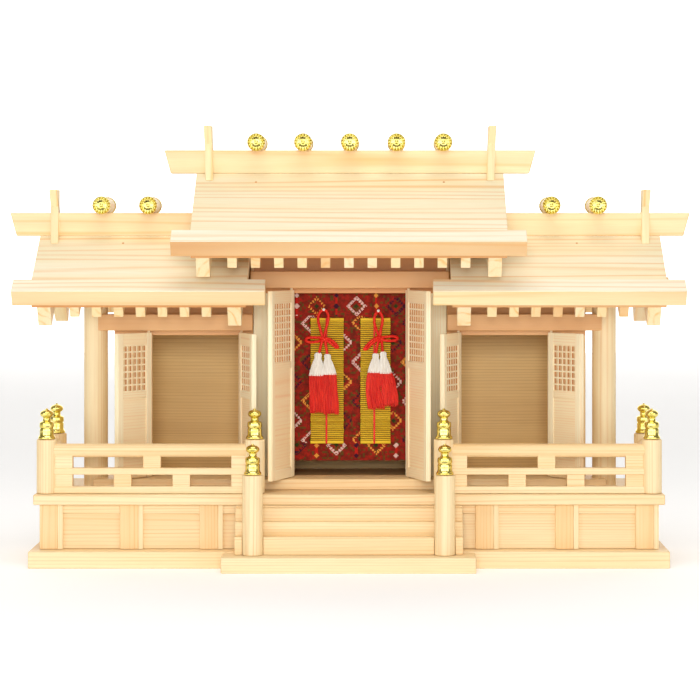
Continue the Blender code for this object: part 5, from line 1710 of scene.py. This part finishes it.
def make_stage():
    """A pale floor that runs back into a white wall, and cards that only the brass reflects."""
    for name, corners, glow in BACKDROPS:
        shader = Shader(f"pale_{name}")
        where = shader.node("ShaderNodeTexCoord").outputs["Object"]
        cloud = shader.range(shader.noise(shader.scaled(where, (3.0, 3.0, 3.0))), 0.3, 0.7)
        colour = shader.mix(cloud, linear(250, 250, 250), linear(246, 246, 246))
        stage_quad(name, corners, shader.finish(Base_Color=colour, Roughness=0.9,
                                                Emission_Color=(1.0, 1.0, 1.0, 1.0),
                                                Emission_Strength=glow))
    for number, (half, low, high, glow) in enumerate(CARDS):
        corners = [(-half, *low), (half, *low), (half, *high), (-half, *high)]
        card = stage_quad(f"card_{number}", corners, Shader(f"card_{number}").finish(
            Base_Color=linear(52, 46, 22), Roughness=0.9, Emission_Color=(1.0, 1.0, 0.95, 1.0),
            Emission_Strength=glow))
        card.visible_camera = False
        card.visible_diffuse = False
        card.visible_shadow = False


# Softboxes that face the shrine: their place, size and power
AIM = Vector((0.0, 0.0, 0.2))
SOFTBOXES = (
    ("left_softbox", (-1.5, -1.4, 0.5), (0.9, 1.2), 5.5),
    ("right_softbox", (1.5, -1.4, 0.5), (0.9, 1.2), 4.0),
    ("top_softbox", (0.0, -0.7, 1.8), (1.6, 1.2), 15.0),
    ("front_softbox", (0.0, -2.6, 0.65), (0.8, 0.7), 22.0),
)
SKY = (1.0, 0.93, 0.84, 1.0)
SKY_STRENGTH = 0.25


def make_lights():
    for name, place, size, power in SOFTBOXES:
        data = bpy.data.lights.new(name, "AREA")
        data.shape = "RECTANGLE"
        data.size, data.size_y = size
        data.energy = power
        light = put_in_scene(name, data)
        light.location = place
        light.rotation_euler = (AIM - Vector(place)).to_track_quat("-Z", "Y").to_euler()
    world = bpy.data.worlds.new("studio")
    world.use_nodes = True
    sky = world.node_tree.nodes["Background"]
    sky.inputs["Color"].default_value = SKY
    sky.inputs["Strength"].default_value = SKY_STRENGTH
    bpy.context.scene.world = world
    view = bpy.context.scene.view_settings
    view.view_transform = "Standard"
    view.look = "None"


def main():
    make_camera()
    make_stage()
    make_lights()
    heart = linear(212, 148, 90)
    hinoki = make_wood("hinoki", linear(248, 230, 187), linear(243, 209, 153),
                       linear(230, 178, 112), heart, 2.1 * MM)
    roof_wood = make_wood("roof_hinoki", linear(253, 248, 226), linear(249, 231, 184),
                          linear(241, 188, 112), heart, 8.6 * MM, lines=0.85)
    # A paler copy of the hinoki: painted light on the open leaves' shaded inner faces
    door_wood = make_wood("lit_door_hinoki", linear(255, 246, 212), linear(255, 232, 188),
                          linear(245, 196, 140), heart, 1.9 * MM)
    # A paler copy of the hinoki: painted light on the shaded jambs
    lit_jamb_wood = make_wood("lit_jamb_hinoki", linear(255, 250, 216), linear(255, 240, 190),
                          linear(246, 206, 142), heart, 2.4 * MM, lines=0.4)
    # A darker, yellower copy of the hinoki: painted shade on the lining inside the bays
    shaded_back_wood = make_wood("shaded_back_hinoki", linear(252, 226, 162), linear(244, 206, 132),
                          linear(202, 156, 90), linear(206, 158, 92), 2.4 * MM)
    white_silk = make_silk("white_silk", linear(255, 253, 247), linear(236, 232, 222),
                           linear(204, 198, 186))
    red_silk = make_silk("red_silk", linear(255, 62, 36), linear(228, 20, 8), linear(146, 4, 2))
    brass = make_brass()
    for make in (make_base, make_podium, make_deck, make_steps, make_railings):
        make(hinoki)
    make_finials(brass)
    for make in (make_sill, make_columns, make_beams):
        make(hinoki)
    make_front_walls(hinoki, lit_jamb_wood)
    make_inner_walls(hinoki)
    make_back_wall(hinoki, shaded_back_wood)
    make_roofs(roof_wood)
    make_ridges(roof_wood, brass)
    make_doors(door_wood)
    make_hangings(make_brocade(), make_bamboo(), white_silk, red_silk)


main()
